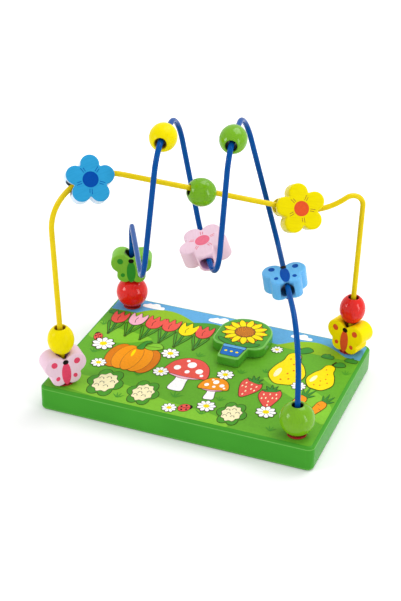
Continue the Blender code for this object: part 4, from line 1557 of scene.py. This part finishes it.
            mesh = Tree.RING.run(shape, count=SUN_PETALS, first_turn=first, finish=ink_finish(ink))
            put(name, mesh, middle, self.body)
        seed = ink_shape("seed", oval(0, 0, 0.62, 0.34, 0, 10), 8)
        mesh = Tree.SPIRAL.run(seed, count=SEEDS, spacing=SEED_SPACING, finish=ink_finish(Ink.ORANGE))
        put("seed_print", mesh, middle, self.body)


def place_points(places: Sequence[tuple[float, float, float, float]]) -> Mesh:
    """A mesh of loose vertices with a turn and a size each, for a tree to put shapes at."""
    mesh = bpy.data.meshes.new("places")
    mesh.from_pydata([(x, y, 0) for x, y, _, _ in places], [], [])
    for name, column in (("turn", 2), ("size", 3)):
        layer = mesh.attributes.new(name, "FLOAT", "POINT")
        for item, place in zip(layer.data, places):
            item.value = place[column]
    return mesh


# The wires


@dataclass
class Wires:
    """The two bent wires and the collars at their feet."""

    board: Board
    diameter: float = 4.0
    facets: int = 28
    bend_steps: int = 24
    crease: float = 50.0
    foot_x: float = 89.0
    foot_y: float = 60.0
    foot_depth: float = 12.0
    yellow_spread: float = 1.2
    collar_diameter: float = 14.0
    collar_height: float = 0.9
    collar_bore: float = 5.0
    collar_radii: tuple[float, ...] = (0.2, 0.35, 0.1, 0.1)
    collar_step: float = math.radians(15)
    collar_facets: int = 56
    winding_angle: float = math.radians(23)
    winding_front: float = 36.0
    winding_back: float = -34.0

    def yellow(self) -> WirePath:
        """The arch from the front left foot to the back right foot."""
        foot = Vector((-self.foot_x, -self.foot_y, 0))
        line = (foot * -2).normalized()
        base = Vector((0, 0, self.board.height))

        def at(side: int, outwards: float, height: float) -> Vector:
            """A place outwards from the foot on one side, above the board."""
            return base + line * (side * (foot.length + outwards)) + UP * height

        return WirePath(
            (
                Bend(at(-1, self.yellow_spread, -self.foot_depth)),
                Bend(at(-1, 8.2, 179), 39),
                Bend(at(1, -25.5, 118.3), 44),
                Bend(at(1, 5.4, 138.3), 8.5),
                Bend(at(1, self.yellow_spread, -self.foot_depth)),
            )
        )

    def blue(self) -> WirePath:
        """The wire that winds twice round the yellow one, from the back left to the front right foot."""
        along = Vector((math.cos(self.winding_angle), math.sin(self.winding_angle), 0))
        front = Vector((along.y, -along.x, 0))
        base = Vector((0, 0, self.board.height))
        left = Vector((-self.foot_x, self.foot_y, self.board.height))
        right = Vector((self.foot_x, -self.foot_y, self.board.height))
        bends = [Bend(left - UP * self.foot_depth), Bend(left + UP * 75, 14)]
        for reach, height, side, radius in (
            (-48.7, 90, self.winding_front, 24),
            (-38.3, 193.7, self.winding_front, 18),
            (-24.2, 189.7, self.winding_back, 24),
            (-6.8, 96.5, self.winding_back, 11),
            (3.1, 88, self.winding_front, 24),
            (9.6, 192.6, self.winding_front, 18),
            (23.2, 190.3, self.winding_back, 24),
            (50.3, 87.5, self.winding_back, 11),
        ):
            bends.append(Bend(base + along * reach + front * side + UP * height, radius))
        bends.append(Bend(right + along * -1.7 + UP * 78, 38))
        bends.append(Bend(right - UP * self.foot_depth))
        return WirePath(tuple(bends))

    def legs(self) -> dict[str, tuple[Vector, Vector]]:
        """Each foot's place on the board's top and the upward direction of its leg."""
        yellow = self.yellow()
        blue = self.blue()
        top = self.board.height
        return {
            "front_left": yellow.leg(False, top),
            "back_right": yellow.leg(True, top),
            "back_left": blue.leg(False, top),
            "front_right": blue.leg(True, top),
        }

    def build(self) -> None:
        """Build both wires and the four collars."""
        for name, path, coat, slot in (
            ("yellow_wire", self.yellow(), YELLOW_COAT, "yellow_coat"),
            ("blue_wire", self.blue(), BLUE_COAT, "blue_coat"),
        ):
            mesh = self.wire_mesh(name, path, coat)
            put(f"coated_{name}", mesh, Matrix.Identity(4), self.board.body, [name])
        for place, (foot, upward) in self.legs().items():
            self.build_collar(place, foot, upward)

    def wire_mesh(self, name: str, path: WirePath, coat: WireCoat) -> Mesh:
        """Run the wire tree along a path.

        Args:
            name: the mesh's name.
            path: the wire's bends.
            coat: its finish.

        Returns:
            The wire's mesh in millimetres.
        """
        line = bpy.data.meshes.new(name)
        count = len(path.bends)
        line.from_pydata([bend.corner for bend in path.bends], [(i, i + 1) for i in range(count - 1)], [])
        layer = line.attributes.new("bend", "FLOAT", "POINT")
        for item, bend in zip(layer.data, path.bends):
            item.value = bend.radius
        mesh = Tree.WIRE.run(
            line,
            diameter=self.diameter - 2 * WIRE_FACET_DEPTH,
            bend_steps=self.bend_steps,
            facets=self.facets,
            finish=coat.material(),
        )
        shade(mesh, self.crease)
        return mesh

    def build_collar(self, place: str, foot: Vector, upward: Vector) -> None:
        """Build one red collar, flat on the board."""
        outer = self.collar_diameter / 2
        inner = self.collar_bore / 2
        half = self.collar_height / 2
        corners = [(inner, half), (outer, half), (outer, -half), (inner, -half)]
        profile = rounded_outline(flat(corners), self.collar_radii, self.collar_step)
        node = f"{place}_collar"
        mesh = turned_mesh(node, profile, self.collar_facets)
        mesh.materials.append(COLLAR_RED.material())
        shade(mesh, self.crease)
        middle = FIT_GAP + half
        frame = Matrix.Translation(foot + upward * (middle / upward.z))
        put(f"red_{node}", mesh, frame, self.board.body, [node])


# The beads


class BeadSize(Enum):
    """Turned beads: widest diameter and height before drilling."""

    OVAL = (19.5, 23.4)
    ROUND = (20.4, 21.6)
    FOOT = (25.0, 25.0)

    def end(self) -> float:
        """Half the bead's length once its ends are cut back to its mouths."""
        width, height = self.value
        return height / 2 * math.sqrt(1 - (2 * (BEAD_BORE + COUNTERSINK) / width) ** 2)

    def side(self, inset: float, steps: int) -> list[tuple[float, float]]:
        """Points down the bead's oval side from mouth to mouth.

        Args:
            inset: how far inside the bead's own side they lie at its widest.
            steps: how many steps they take from mouth to mouth.

        Returns:
            Pairs of radius and height.
        """
        width, height = self.value
        edge = math.asin(2 * self.end() / height)
        angles = [edge - 2 * edge * index / steps for index in range(steps + 1)]
        widest = width / 2 - inset
        return [(widest * math.cos(a), height / 2 * math.sin(a)) for a in angles]


def seat_frame(place: Vector, bore: Vector, face: Vector) -> Matrix:
    """A bead's frame: Z along its bore, and Y looking the way that its face does."""
    z_axis = bore.normalized()
    x_axis = z_axis.cross(face).normalized() * -1
    y_axis = z_axis.cross(x_axis)
    return Matrix.Translation(place) @ Matrix((x_axis, y_axis, z_axis)).transposed().to_4x4()


def hung(point: Vector, along: Vector, slack: float) -> Vector:
    """Where a bore's centre lies when its bead hangs on a stretch of wire by its slack."""
    down = -UP - along * (-UP).dot(along)
    return point + down.normalized() * slack


def tilted(along: Vector, degrees: float) -> Vector:
    """A wire's direction with its far end lifted."""
    return Matrix.Rotation(math.radians(degrees), 3, along.cross(UP).normalized()) @ along


def swung(along: Vector, face: Vector, degrees: float) -> Vector:
    """A wire's direction turned towards the way that a piece on it faces."""
    outward = face - along * face.dot(along)
    return Matrix.Rotation(math.radians(degrees), 3, along.cross(outward).normalized()) @ along


@dataclass(frozen=True)
class TurnedBead:
    """A turned and drilled wooden bead."""

    name: str
    size: BeadSize
    frame: Matrix
    lacquer: WoodLacquer
    slot: str

    # Facets down the side and round the bead, and the creases that stay sharp, in degrees
    SIDE_FACETS = 44
    FACETS = 72
    CREASE = 60.0

    # Radii of the mouth's rim and of the bore's, the angle between two points on them, and how far out of
    # the bore its colour, which is partly painted shade, runs
    RIM_RADIUS = 0.35
    BORE_RADIUS = 0.5
    RIM_STEP = math.radians(20)
    BORE_MARGIN = 0.25

    def profile(self) -> Outline:
        """The bead's closed profile: down its oval side, round the mouth and up the bore."""
        corners = self.size.side(BEAD_FACET_DEPTH, self.SIDE_FACETS)
        length = self.size.end() - COUNTERSINK
        corners += [(BEAD_BORE, -length), (BEAD_BORE, length)]
        radii = [self.RIM_RADIUS] + [0.0] * (self.SIDE_FACETS - 1)
        radii += [self.RIM_RADIUS, self.BORE_RADIUS, self.BORE_RADIUS]
        return rounded_outline(flat(corners), radii, self.RIM_STEP)

    def build(self) -> None:
        """Turn the bead and put it on its wire."""
        mesh = turned_mesh(self.name, self.profile(), self.FACETS)
        wood_attributes(mesh, BEAD_BORE + self.BORE_MARGIN)
        mesh.materials.append(self.lacquer.material())
        shade(mesh, self.CREASE)
        put(f"turned_{self.name}", mesh, self.frame, self.name, [self.name])


@dataclass(frozen=True)
class SawnFigure:
    """A figure sawn from a plank, drilled through its middle and printed on both faces."""

    name: str
    frame: Matrix
    lacquer: WoodLacquer
    slot: str
    mark: Ink
    thickness: float = 15.0
    edge: float = 1.2
    side: WoodLacquer | None = None

    # Facets of the rounded rims, how many times the figure's reach the drill runs, how wide the bore's rims
    # are eased, and how far out of the bore its colour, which is partly painted shade, runs
    RIM_STEPS = 5
    DRILL_REACH = 1.5
    EASING = 0.3
    BORE_MARGIN = 0.1

    # The share of a rim that has the faces' colour, the creases that stay sharp, in degrees, and the radius
    # of the saw's turn between two lobes
    FACE_SHARE = 0.6
    CREASE = 40.0
    NOTCH = 0.9

    def lobes(self) -> list[Lobe]:
        """The figure's round lobes, anticlockwise."""
        raise NotImplementedError

    def decorate(self, sheet: InkSheet) -> None:
        """Print the figure's marks, in the outline's own X and Y."""
        raise NotImplementedError

    def build(self) -> None:
        """Saw, drill, lacquer and print the figure."""
        lobes = self.lobes()
        outline = lobed_outline(lobes, self.NOTCH)
        mesh = slab_mesh(self.name, outline, self.thickness, self.edge, self.RIM_STEPS)
        stand = Matrix.Rotation(math.pi / 2, 4, "X")
        mesh.transform(stand)
        longest = max(centre.length + radius for centre, radius in lobes)
        mesh = bored_mesh(mesh, FIGURE_BORE, longest * self.DRILL_REACH, self.EASING)
        wood_attributes(mesh, FIGURE_BORE + self.BORE_MARGIN)
        mesh.materials.clear()
        mesh.materials.append(self.lacquer.material())
        if self.side is not None:
            mesh.materials.append(self.side.material())
            rim = self.thickness / 2 - self.edge * self.FACE_SHARE
            for face in mesh.polygons:
                face.material_index = 1 if abs(face.center.y) < rim else 0
        shade(mesh, self.CREASE)
        put(f"sawn_{self.name}", mesh, self.frame, self.name, [self.name])
        self.print_faces(stand)

    def print_faces(self, stand: Matrix) -> None:
        """Print the same marks on the front and the back."""
        for word, turn in (("front", 0.0), ("back", math.pi)):
            sheet = InkSheet()
            self.decorate(sheet)
            mesh = sheet.mesh(f"{self.name}_{word}_print")
            mesh.transform(Matrix.Translation((0, 0, self.thickness / 2)))
            mesh.transform(Matrix.Rotation(turn, 4, "Z") @ stand)
            put(f"{self.name}_{word}_print", mesh, self.frame, self.name)


class Wing(Enum):
    """A butterfly's wings: their place to the side and up from its middle, and their radius."""

    UPPER = (7.8, 4.3, 8.2)
    LOWER = (5.3, -6.3, 6.0)


@dataclass(frozen=True)
class Butterfly(SawnFigure):
    """A butterfly with its head along the bore."""

    NOTCH = 2.0

    def lobes(self) -> list[Lobe]:
        """Two upper and two lower wings."""
        lobes = []
        for wing, side in ((Wing.UPPER, 1), (Wing.UPPER, -1), (Wing.LOWER, -1), (Wing.LOWER, 1)):
            x, y, radius = wing.value
            lobes.append((Vector((side * x, y, 0)), radius - FACET_DEPTH))
        return lobes

    def decorate(self, sheet: InkSheet) -> None:
        """Print the body, the head and a spot on each wing."""
        sheet.fill(self.mark, oval(0, -2.6, 3.5, 9.2, 0, 32), 0)
        sheet.fill(Ink.BLACK, oval(0, 7.0, 2.2, 1.9, 0, 24), 1)
        for side in (-1, 1):
            sheet.fill(self.mark, oval(side * 8.6, 6.4, 2.3, 2.5, side * -25, 24), 0)
            sheet.fill(self.mark, oval(side * 6.6, -5.6, 1.6, 1.8, side * 20, 20), 0)


# Petals of a sawn flower
PETALS = 5

# Each petal swells this much to its sides, so that the saw leaves shallow notches
PETAL_FULLNESS = 0.4


class FlowerSize(Enum):
    """Sawn flowers: a petal's radius and how far its centre lies from the flower's."""

    SMALL = (6.2, 11.1)
    LARGE = (6.6, 11.8)

    def bore_middle(self) -> float:
        """How far the middle of the drilled length lies from the centre, towards the drilled petal."""
        return self.value[1] * (1 - math.cos(math.pi / PETALS)) / 2


@dataclass(frozen=True)
class Flower(SawnFigure):
    """A five-petalled flower drilled from a petal's tip to the notch opposite."""

    size: FlowerSize = FlowerSize.SMALL
    rays: Ink = Ink.LINE

    def lobes(self) -> list[Lobe]:
        """The petals, with the first one along the bore."""
        radius, reach = self.size.value
        angles = [math.pi / 2 + math.tau * index / PETALS for index in range(PETALS)]
        swollen = radius + PETAL_FULLNESS
        return [(Vector((math.cos(a), math.sin(a), 0)) * (reach - PETAL_FULLNESS), swollen) for a in angles]

    def decorate(self, sheet: InkSheet) -> None:
        """Print the centre and a pair of short rays towards each notch."""
        sheet.fill(self.mark, oval(0, 0, 5.5, 5.5, 0, 40), 0)
        for index in range(PETALS):
            turn = 360 * (index + 0.5) / PETALS
            for shift, reach in ((-0.7, 10.2), (0.7, 9.4)):
                ray = ribbon(((shift, 6.4), (shift * 1.15, reach)), 0.42)
                sheet.fill(self.rays, moved(ray, 0, 0, 1, turn), 0)


@dataclass
class Beads:
    """All the beads, each at rest on its own stretch of wire."""

    wires: Wires
    blue_flower_turn: float = math.radians(75)
    blue_flower_swing: float = -9.5
    green_round_rest: float = 113.5
    yellow_flower_rest: float = 0.8
    yellow_flower_lift: float = 0.3
    yellow_flower_tilt: float = 6.0
    yellow_flower_swing: float = 6.0
    yellow_egg_rest: float = 21.7
    green_egg_rest: float = 19.2
    egg_drop: float = 0.7
    egg_tilt: float = 6.0
    pink_flower_rest: float = 23.0
    pink_flower_drop: float = 1.2
    pink_flower_tilt: float = -3.5
    pink_flower_swing: float = 5.0
    pink_flower_lean: float = math.radians(19)
    blue_butterfly_rest: float = 51.0
    blue_butterfly_lean: float = 0.18

    # Points on a bead's side where it may meet a wing, and halvings of the distance that is looked for
    MEETING_STEPS = 8
    HALVINGS = 40

    # Straight stretches of the blue wire, counted from its back left foot
    FIRST_TOP = 3
    BETWEEN_WINDINGS = 5
    SECOND_TOP = 7
    AFTER_WINDINGS = 9

    def slack(self, bore: float) -> float:
        """How far a bore's centre hangs below the wire."""
        return bore - self.wires.diameter / 2 - FIT_GAP

    def stacked(self, size: BeadSize, wing: Wing) -> float:
        """How far apart along the bore a turned bead and a butterfly lie when a wing meets the bead.

        Args:
            size: the bead's size.
            wing: the wing that meets it.

        Returns:
            The distance between their middles.
        """
        across, up, radius = wing.value
        side = size.side(0.0, self.MEETING_STEPS)
        low = abs(up)
        high = low + radius + size.value[1]
        for _ in range(self.HALVINGS):
            middle = (low + high) / 2
            nearest = min(math.hypot(r - across, middle + z - abs(up)) for r, z in side)
            if nearest - radius < SEAT_GAP:
                low = middle
            else:
                high = middle
        return high

    def build(self) -> None:
        """Build every bead."""
        for piece in self.on_legs() + self.on_yellow() + self.on_blue():
            piece.build()

    def on_legs(self) -> list[TurnedBead | SawnFigure]:
        """The stacks that rest on the collars at the four feet."""
        legs = self.wires.legs()
        on_collar = FIT_GAP + self.wires.collar_height + SEAT_GAP
        _, wing_height, wing_radius = Wing.LOWER.value
        stand = on_collar + wing_radius - wing_height
        oval_rest = stand + self.stacked(BeadSize.OVAL, Wing.UPPER)
        foot_rest = on_collar + BeadSize.FOOT.end()
        top_rest = foot_rest + self.stacked(BeadSize.FOOT, Wing.LOWER)

        def seat(leg: str, rest: float, face: float = 0.0) -> Matrix:
            """A frame on a leg, facing so many degrees from the front."""
            foot, upward = legs[leg]
            way = Matrix.Rotation(math.radians(face), 3, "Z") @ FRONT
            return seat_frame(foot + upward * rest, upward, way)

        pieces: list[TurnedBead | SawnFigure] = []
        for name, leg, rest, face, lacquer, slot, mark in (
            ("pink_butterfly", "front_left", stand, 45, PINK_LACQUER, "pink_lacquer", Ink.CRIMSON),
            ("yellow_butterfly", "back_right", stand, -18, LIT_YELLOW_LACQUER, "yellow_lacquer", Ink.VERMILION),
            ("green_butterfly", "back_left", top_rest, 20, LEAF_LACQUER, "leaf_lacquer", Ink.MOSS),
        ):
            pieces.append(Butterfly(name, seat(leg, rest, face), lacquer, slot, mark))
        for name, size, leg, rest, lacquer, slot in (
            ("yellow_leg_bead", BeadSize.OVAL, "front_left", oval_rest, YELLOW_LACQUER, "yellow_lacquer"),
            ("red_leg_bead", BeadSize.OVAL, "back_right", oval_rest, RED_LACQUER, "red_lacquer"),
            ("red_foot_bead", BeadSize.FOOT, "back_left", foot_rest, RED_LACQUER, "red_lacquer"),
            ("green_foot_bead", BeadSize.FOOT, "front_right", foot_rest, GREEN_LACQUER, "leaf_lacquer"),
        ):
            pieces.append(TurnedBead(name, size, seat(leg, rest), lacquer, slot))
        return pieces

    def on_yellow(self) -> list[TurnedBead | SawnFigure]:
        """The flower on the tall bend, and the round bead and the flower on the slope."""
        path = self.wires.yellow()
        bend = path.arc(1)
        along = bend.tangent(self.blue_flower_turn)
        bore = swung(along, TOWARDS_CHILD, self.blue_flower_swing)
        middle = hung(bend.point(self.blue_flower_turn), along, self.slack(FIGURE_BORE))
        blue = seat_frame(middle - bore * FlowerSize.SMALL.bore_middle(), bore, TOWARDS_CHILD)
        corner, slope = path.stretch(1)
        place = hung(corner + slope * self.green_round_rest, slope, self.slack(BEAD_BORE))
        ball = seat_frame(place, slope, FRONT)
        bore = -swung(tilted(slope, self.yellow_flower_tilt), FRONT, self.yellow_flower_swing)
        middle = path.arc(2).point(0) + slope * self.yellow_flower_rest + UP * self.yellow_flower_lift
        yellow = seat_frame(middle - bore * FlowerSize.LARGE.bore_middle(), bore, TOWARDS_CHILD)
        return [
            Flower(
                "blue_flower", blue, SKY_LACQUER, "sky_lacquer", Ink.NAVY,
                side=PALE_SKY_LACQUER, size=FlowerSize.SMALL, rays=Ink.NAVY,
            ),
            TurnedBead("green_round_bead", BeadSize.ROUND, ball, GREEN_LACQUER, "leaf_lacquer"),
            Flower(
                "yellow_flower", yellow, FLOWER_LACQUER, "yellow_lacquer", Ink.VERMILION,
                size=FlowerSize.LARGE, rays=Ink.BROWN,
            ),
        ]

    def on_blue(self) -> list[TurnedBead | SawnFigure]:
        """The ovals on top of the windings, and the flower and butterfly on the lower strands."""
        path = self.wires.blue()
        pieces: list[TurnedBead | SawnFigure] = []
        for name, index, rest, lacquer, slot in (
            ("yellow_egg_bead", self.FIRST_TOP, self.yellow_egg_rest, YELLOW_LACQUER, "yellow_lacquer"),
            ("green_egg_bead", self.SECOND_TOP, self.green_egg_rest, GREEN_LACQUER, "leaf_lacquer"),
        ):
            corner, along = path.stretch(index)
            place = hung(corner + along * rest, along, self.egg_drop)
            frame = seat_frame(place, tilted(along, self.egg_tilt), UP)
            pieces.append(TurnedBead(name, BeadSize.OVAL, frame, lacquer, slot))
        corner, along = path.stretch(self.BETWEEN_WINDINGS)
        bore = swung(tilted(along, self.pink_flower_tilt), LEFT, self.pink_flower_swing)
        middle = hung(corner + along * self.pink_flower_rest, along, self.pink_flower_drop)
        face = UP * math.cos(self.pink_flower_lean) + LEFT * math.sin(self.pink_flower_lean)
        frame = seat_frame(middle - bore * FlowerSize.LARGE.bore_middle(), bore, face)
        pieces.append(
            Flower(
                "pink_flower", frame, PINK_LACQUER, "pink_lacquer", Ink.ROSE,
                size=FlowerSize.LARGE, rays=Ink.CRIMSON,
            )
        )
        corner, along = path.stretch(self.AFTER_WINDINGS)
        place = hung(corner + along * self.blue_butterfly_rest, along, self.slack(FIGURE_BORE))
        frame = seat_frame(place, -along, UP + LEFT * self.blue_butterfly_lean)
        pieces.append(Butterfly("blue_butterfly", frame, POWDER_LACQUER, "sky_lacquer", Ink.NAVY))
        return pieces


# Studio


@dataclass(frozen=True)
class Studio:
    """White floor, soft light and the camera at the photograph's viewing angle."""

    azimuth: float = math.radians(21.09)
    elevation: float = math.radians(29.83)
    roll: float = math.radians(0.7)
    eye: tuple[float, float, float] = (332.9, -882.7, 616.8)
    focal_pixels: float = 1490.0
    picture_height: int = 601
    sensor: float = 36.0
    nearest: float = 0.05
    farthest: float = 20.0
    floor_reach: float = 6.0
    # To the camera the floor is greyer and glows: a little near the board, which lightens its shadow, more
    # farther out
    floor_white: str = "#FAFAFA"
    floor_seen: str = "#E8E8E8"
    shadow_reach: float = 180.0
    white_reach: float = 420.0
    near_lift: float = 0.14
    far_lift: float = 0.4
    room_light: float = 0.66
    room_seen: float = 1.0
    aim: tuple[float, float, float] = (0, 0, 0.08)

    def build(self) -> None:
        """Set the floor, the light and the camera."""
        self.build_floor()
        self.build_light()
        self.build_camera()
        bpy.context.scene.view_settings.view_transform = "Standard"

    def build_camera(self) -> None:
        """Place the camera where the photograph was taken from."""
        across = math.cos(self.azimuth)
        aside = math.sin(self.azimuth)
        level = math.cos(self.elevation)
        right = Vector((across, aside, 0))
        forward = Vector((-aside * level, across * level, -math.sin(self.elevation)))
        up = right.cross(forward)
        turn = Matrix.Rotation(-self.roll, 3, forward)
        axes = Matrix((turn @ right, turn @ up, -forward)).transposed().to_4x4()
        data = bpy.data.cameras.new("camera")
        data.sensor_fit = "VERTICAL"
        data.sensor_height = self.sensor
        data.lens = self.focal_pixels / self.picture_height * self.sensor
        data.clip_start = self.nearest
        data.clip_end = self.farthest
        camera = add_object(data, "camera")
        camera.matrix_world = Matrix.Translation(Vector(self.eye) * MM) @ axes
        bpy.context.scene.camera = camera

    def build_floor(self) -> None:
        """A white floor that keeps the shadow."""
        shape = bmesh.new()
        bmesh.ops.create_grid(shape, x_segments=1, y_segments=1, size=self.floor_reach)
        floor = add_object(mesh_from(shape, "floor"), "floor")
        material = bpy.data.materials.new("white_floor")
        material.use_nodes = True
        tree = material.node_tree
        tree.nodes.clear()
        seen = add_node(tree, "ShaderNodeLightPath").outputs["Is Camera Ray"]
        whites = {"Factor": seen, "A": linear(self.floor_white), "B": linear(self.floor_seen)}
        tone = add_node(tree, "ShaderNodeMix", whites, data_type="RGBA")
        paper = add_node(tree, "ShaderNodeBsdfDiffuse", {"Color": tone.outputs["Result"]})
        place = add_node(tree, "ShaderNodeTexCoord").outputs["Object"]
        away = add_node(tree, "ShaderNodeVectorMath", {0: place}, operation="LENGTH")
        rise = add_node(
            tree,
            "ShaderNodeMapRange",
            {
                "Value": away.outputs["Value"],
                "From Min": self.shadow_reach * MM,
                "From Max": self.white_reach * MM,
                "To Min": self.near_lift,
                "To Max": self.far_lift,
            },
            interpolation_type="SMOOTHSTEP",
        )
        glow = add_node(tree, "ShaderNodeMath", {0: seen, 1: rise}, operation="MULTIPLY")
        lift = add_node(tree, "ShaderNodeEmission", {"Strength": glow})
        both = add_node(tree, "ShaderNodeAddShader", {0: paper, 1: lift})
        add_node(tree, "ShaderNodeOutputMaterial", {"Surface": both})
        floor.data.materials.append(material)
        floor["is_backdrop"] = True

    def build_light(self) -> None:
        """A white room and three soft boxes: one overhead and one to each side."""
        world = bpy.data.worlds.new("white_room")
        world.use_nodes = True
        tree = world.node_tree
        tree.nodes.clear()
        light = add_node(tree, "ShaderNodeLightPath")
        seen = light.outputs["Is Camera Ray"]
        for other in ("Is Glossy Ray", "Is Transmission Ray"):
            seen = add_node(tree, "ShaderNodeMath", {0: seen, 1: light.outputs[other]}, operation="MAXIMUM")
        shares = {"Factor": seen, "A": self.room_light, "B": self.room_seen}
        strength = add_node(tree, "ShaderNodeMix", shares, data_type="FLOAT")
        white = add_node(tree, "ShaderNodeBackground", {"Color": (1, 1, 1, 1), "Strength": strength})
        add_node(tree, "ShaderNodeOutputWorld", {"Surface": white})
        bpy.context.scene.world = world
        for name, place, width, height, power in (
            ("top_box", (0.3, 0.55, 1.2), 0.9, 0.9, 10.0),
            ("left_box", (-1.25, -0.95, 0.75), 0.6, 0.6, 10.0),
            ("right_box", (1.25, -0.3, 0.45), 0.3, 0.9, 5.0),
        ):
            data = bpy.data.lights.new(name, "AREA")
            data.shape = "RECTANGLE"
            data.size = width
            data.size_y = height
            data.energy = power
            lamp = add_object(data, name)
            lamp.location = place
            lamp.rotation_euler = (Vector(self.aim) - Vector(place)).to_track_quat("-Z", "Y").to_euler()


def main() -> None:
    """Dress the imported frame."""
    logging.basicConfig(level=logging.INFO, format="%(message)s")
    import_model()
    cad_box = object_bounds()
    Studio().build()
    board = Board()
    board.build()
    wires = Wires(board)
    wires.build()
    Beads(wires).build()
    boxes = {"cad": [list(corner) for corner in cad_box], "visual": [list(corner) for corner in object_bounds()]}
    for name, corners in boxes.items():
        LOG.info("%s box %s", name, corners)


if __name__ == "__main__":
    main()
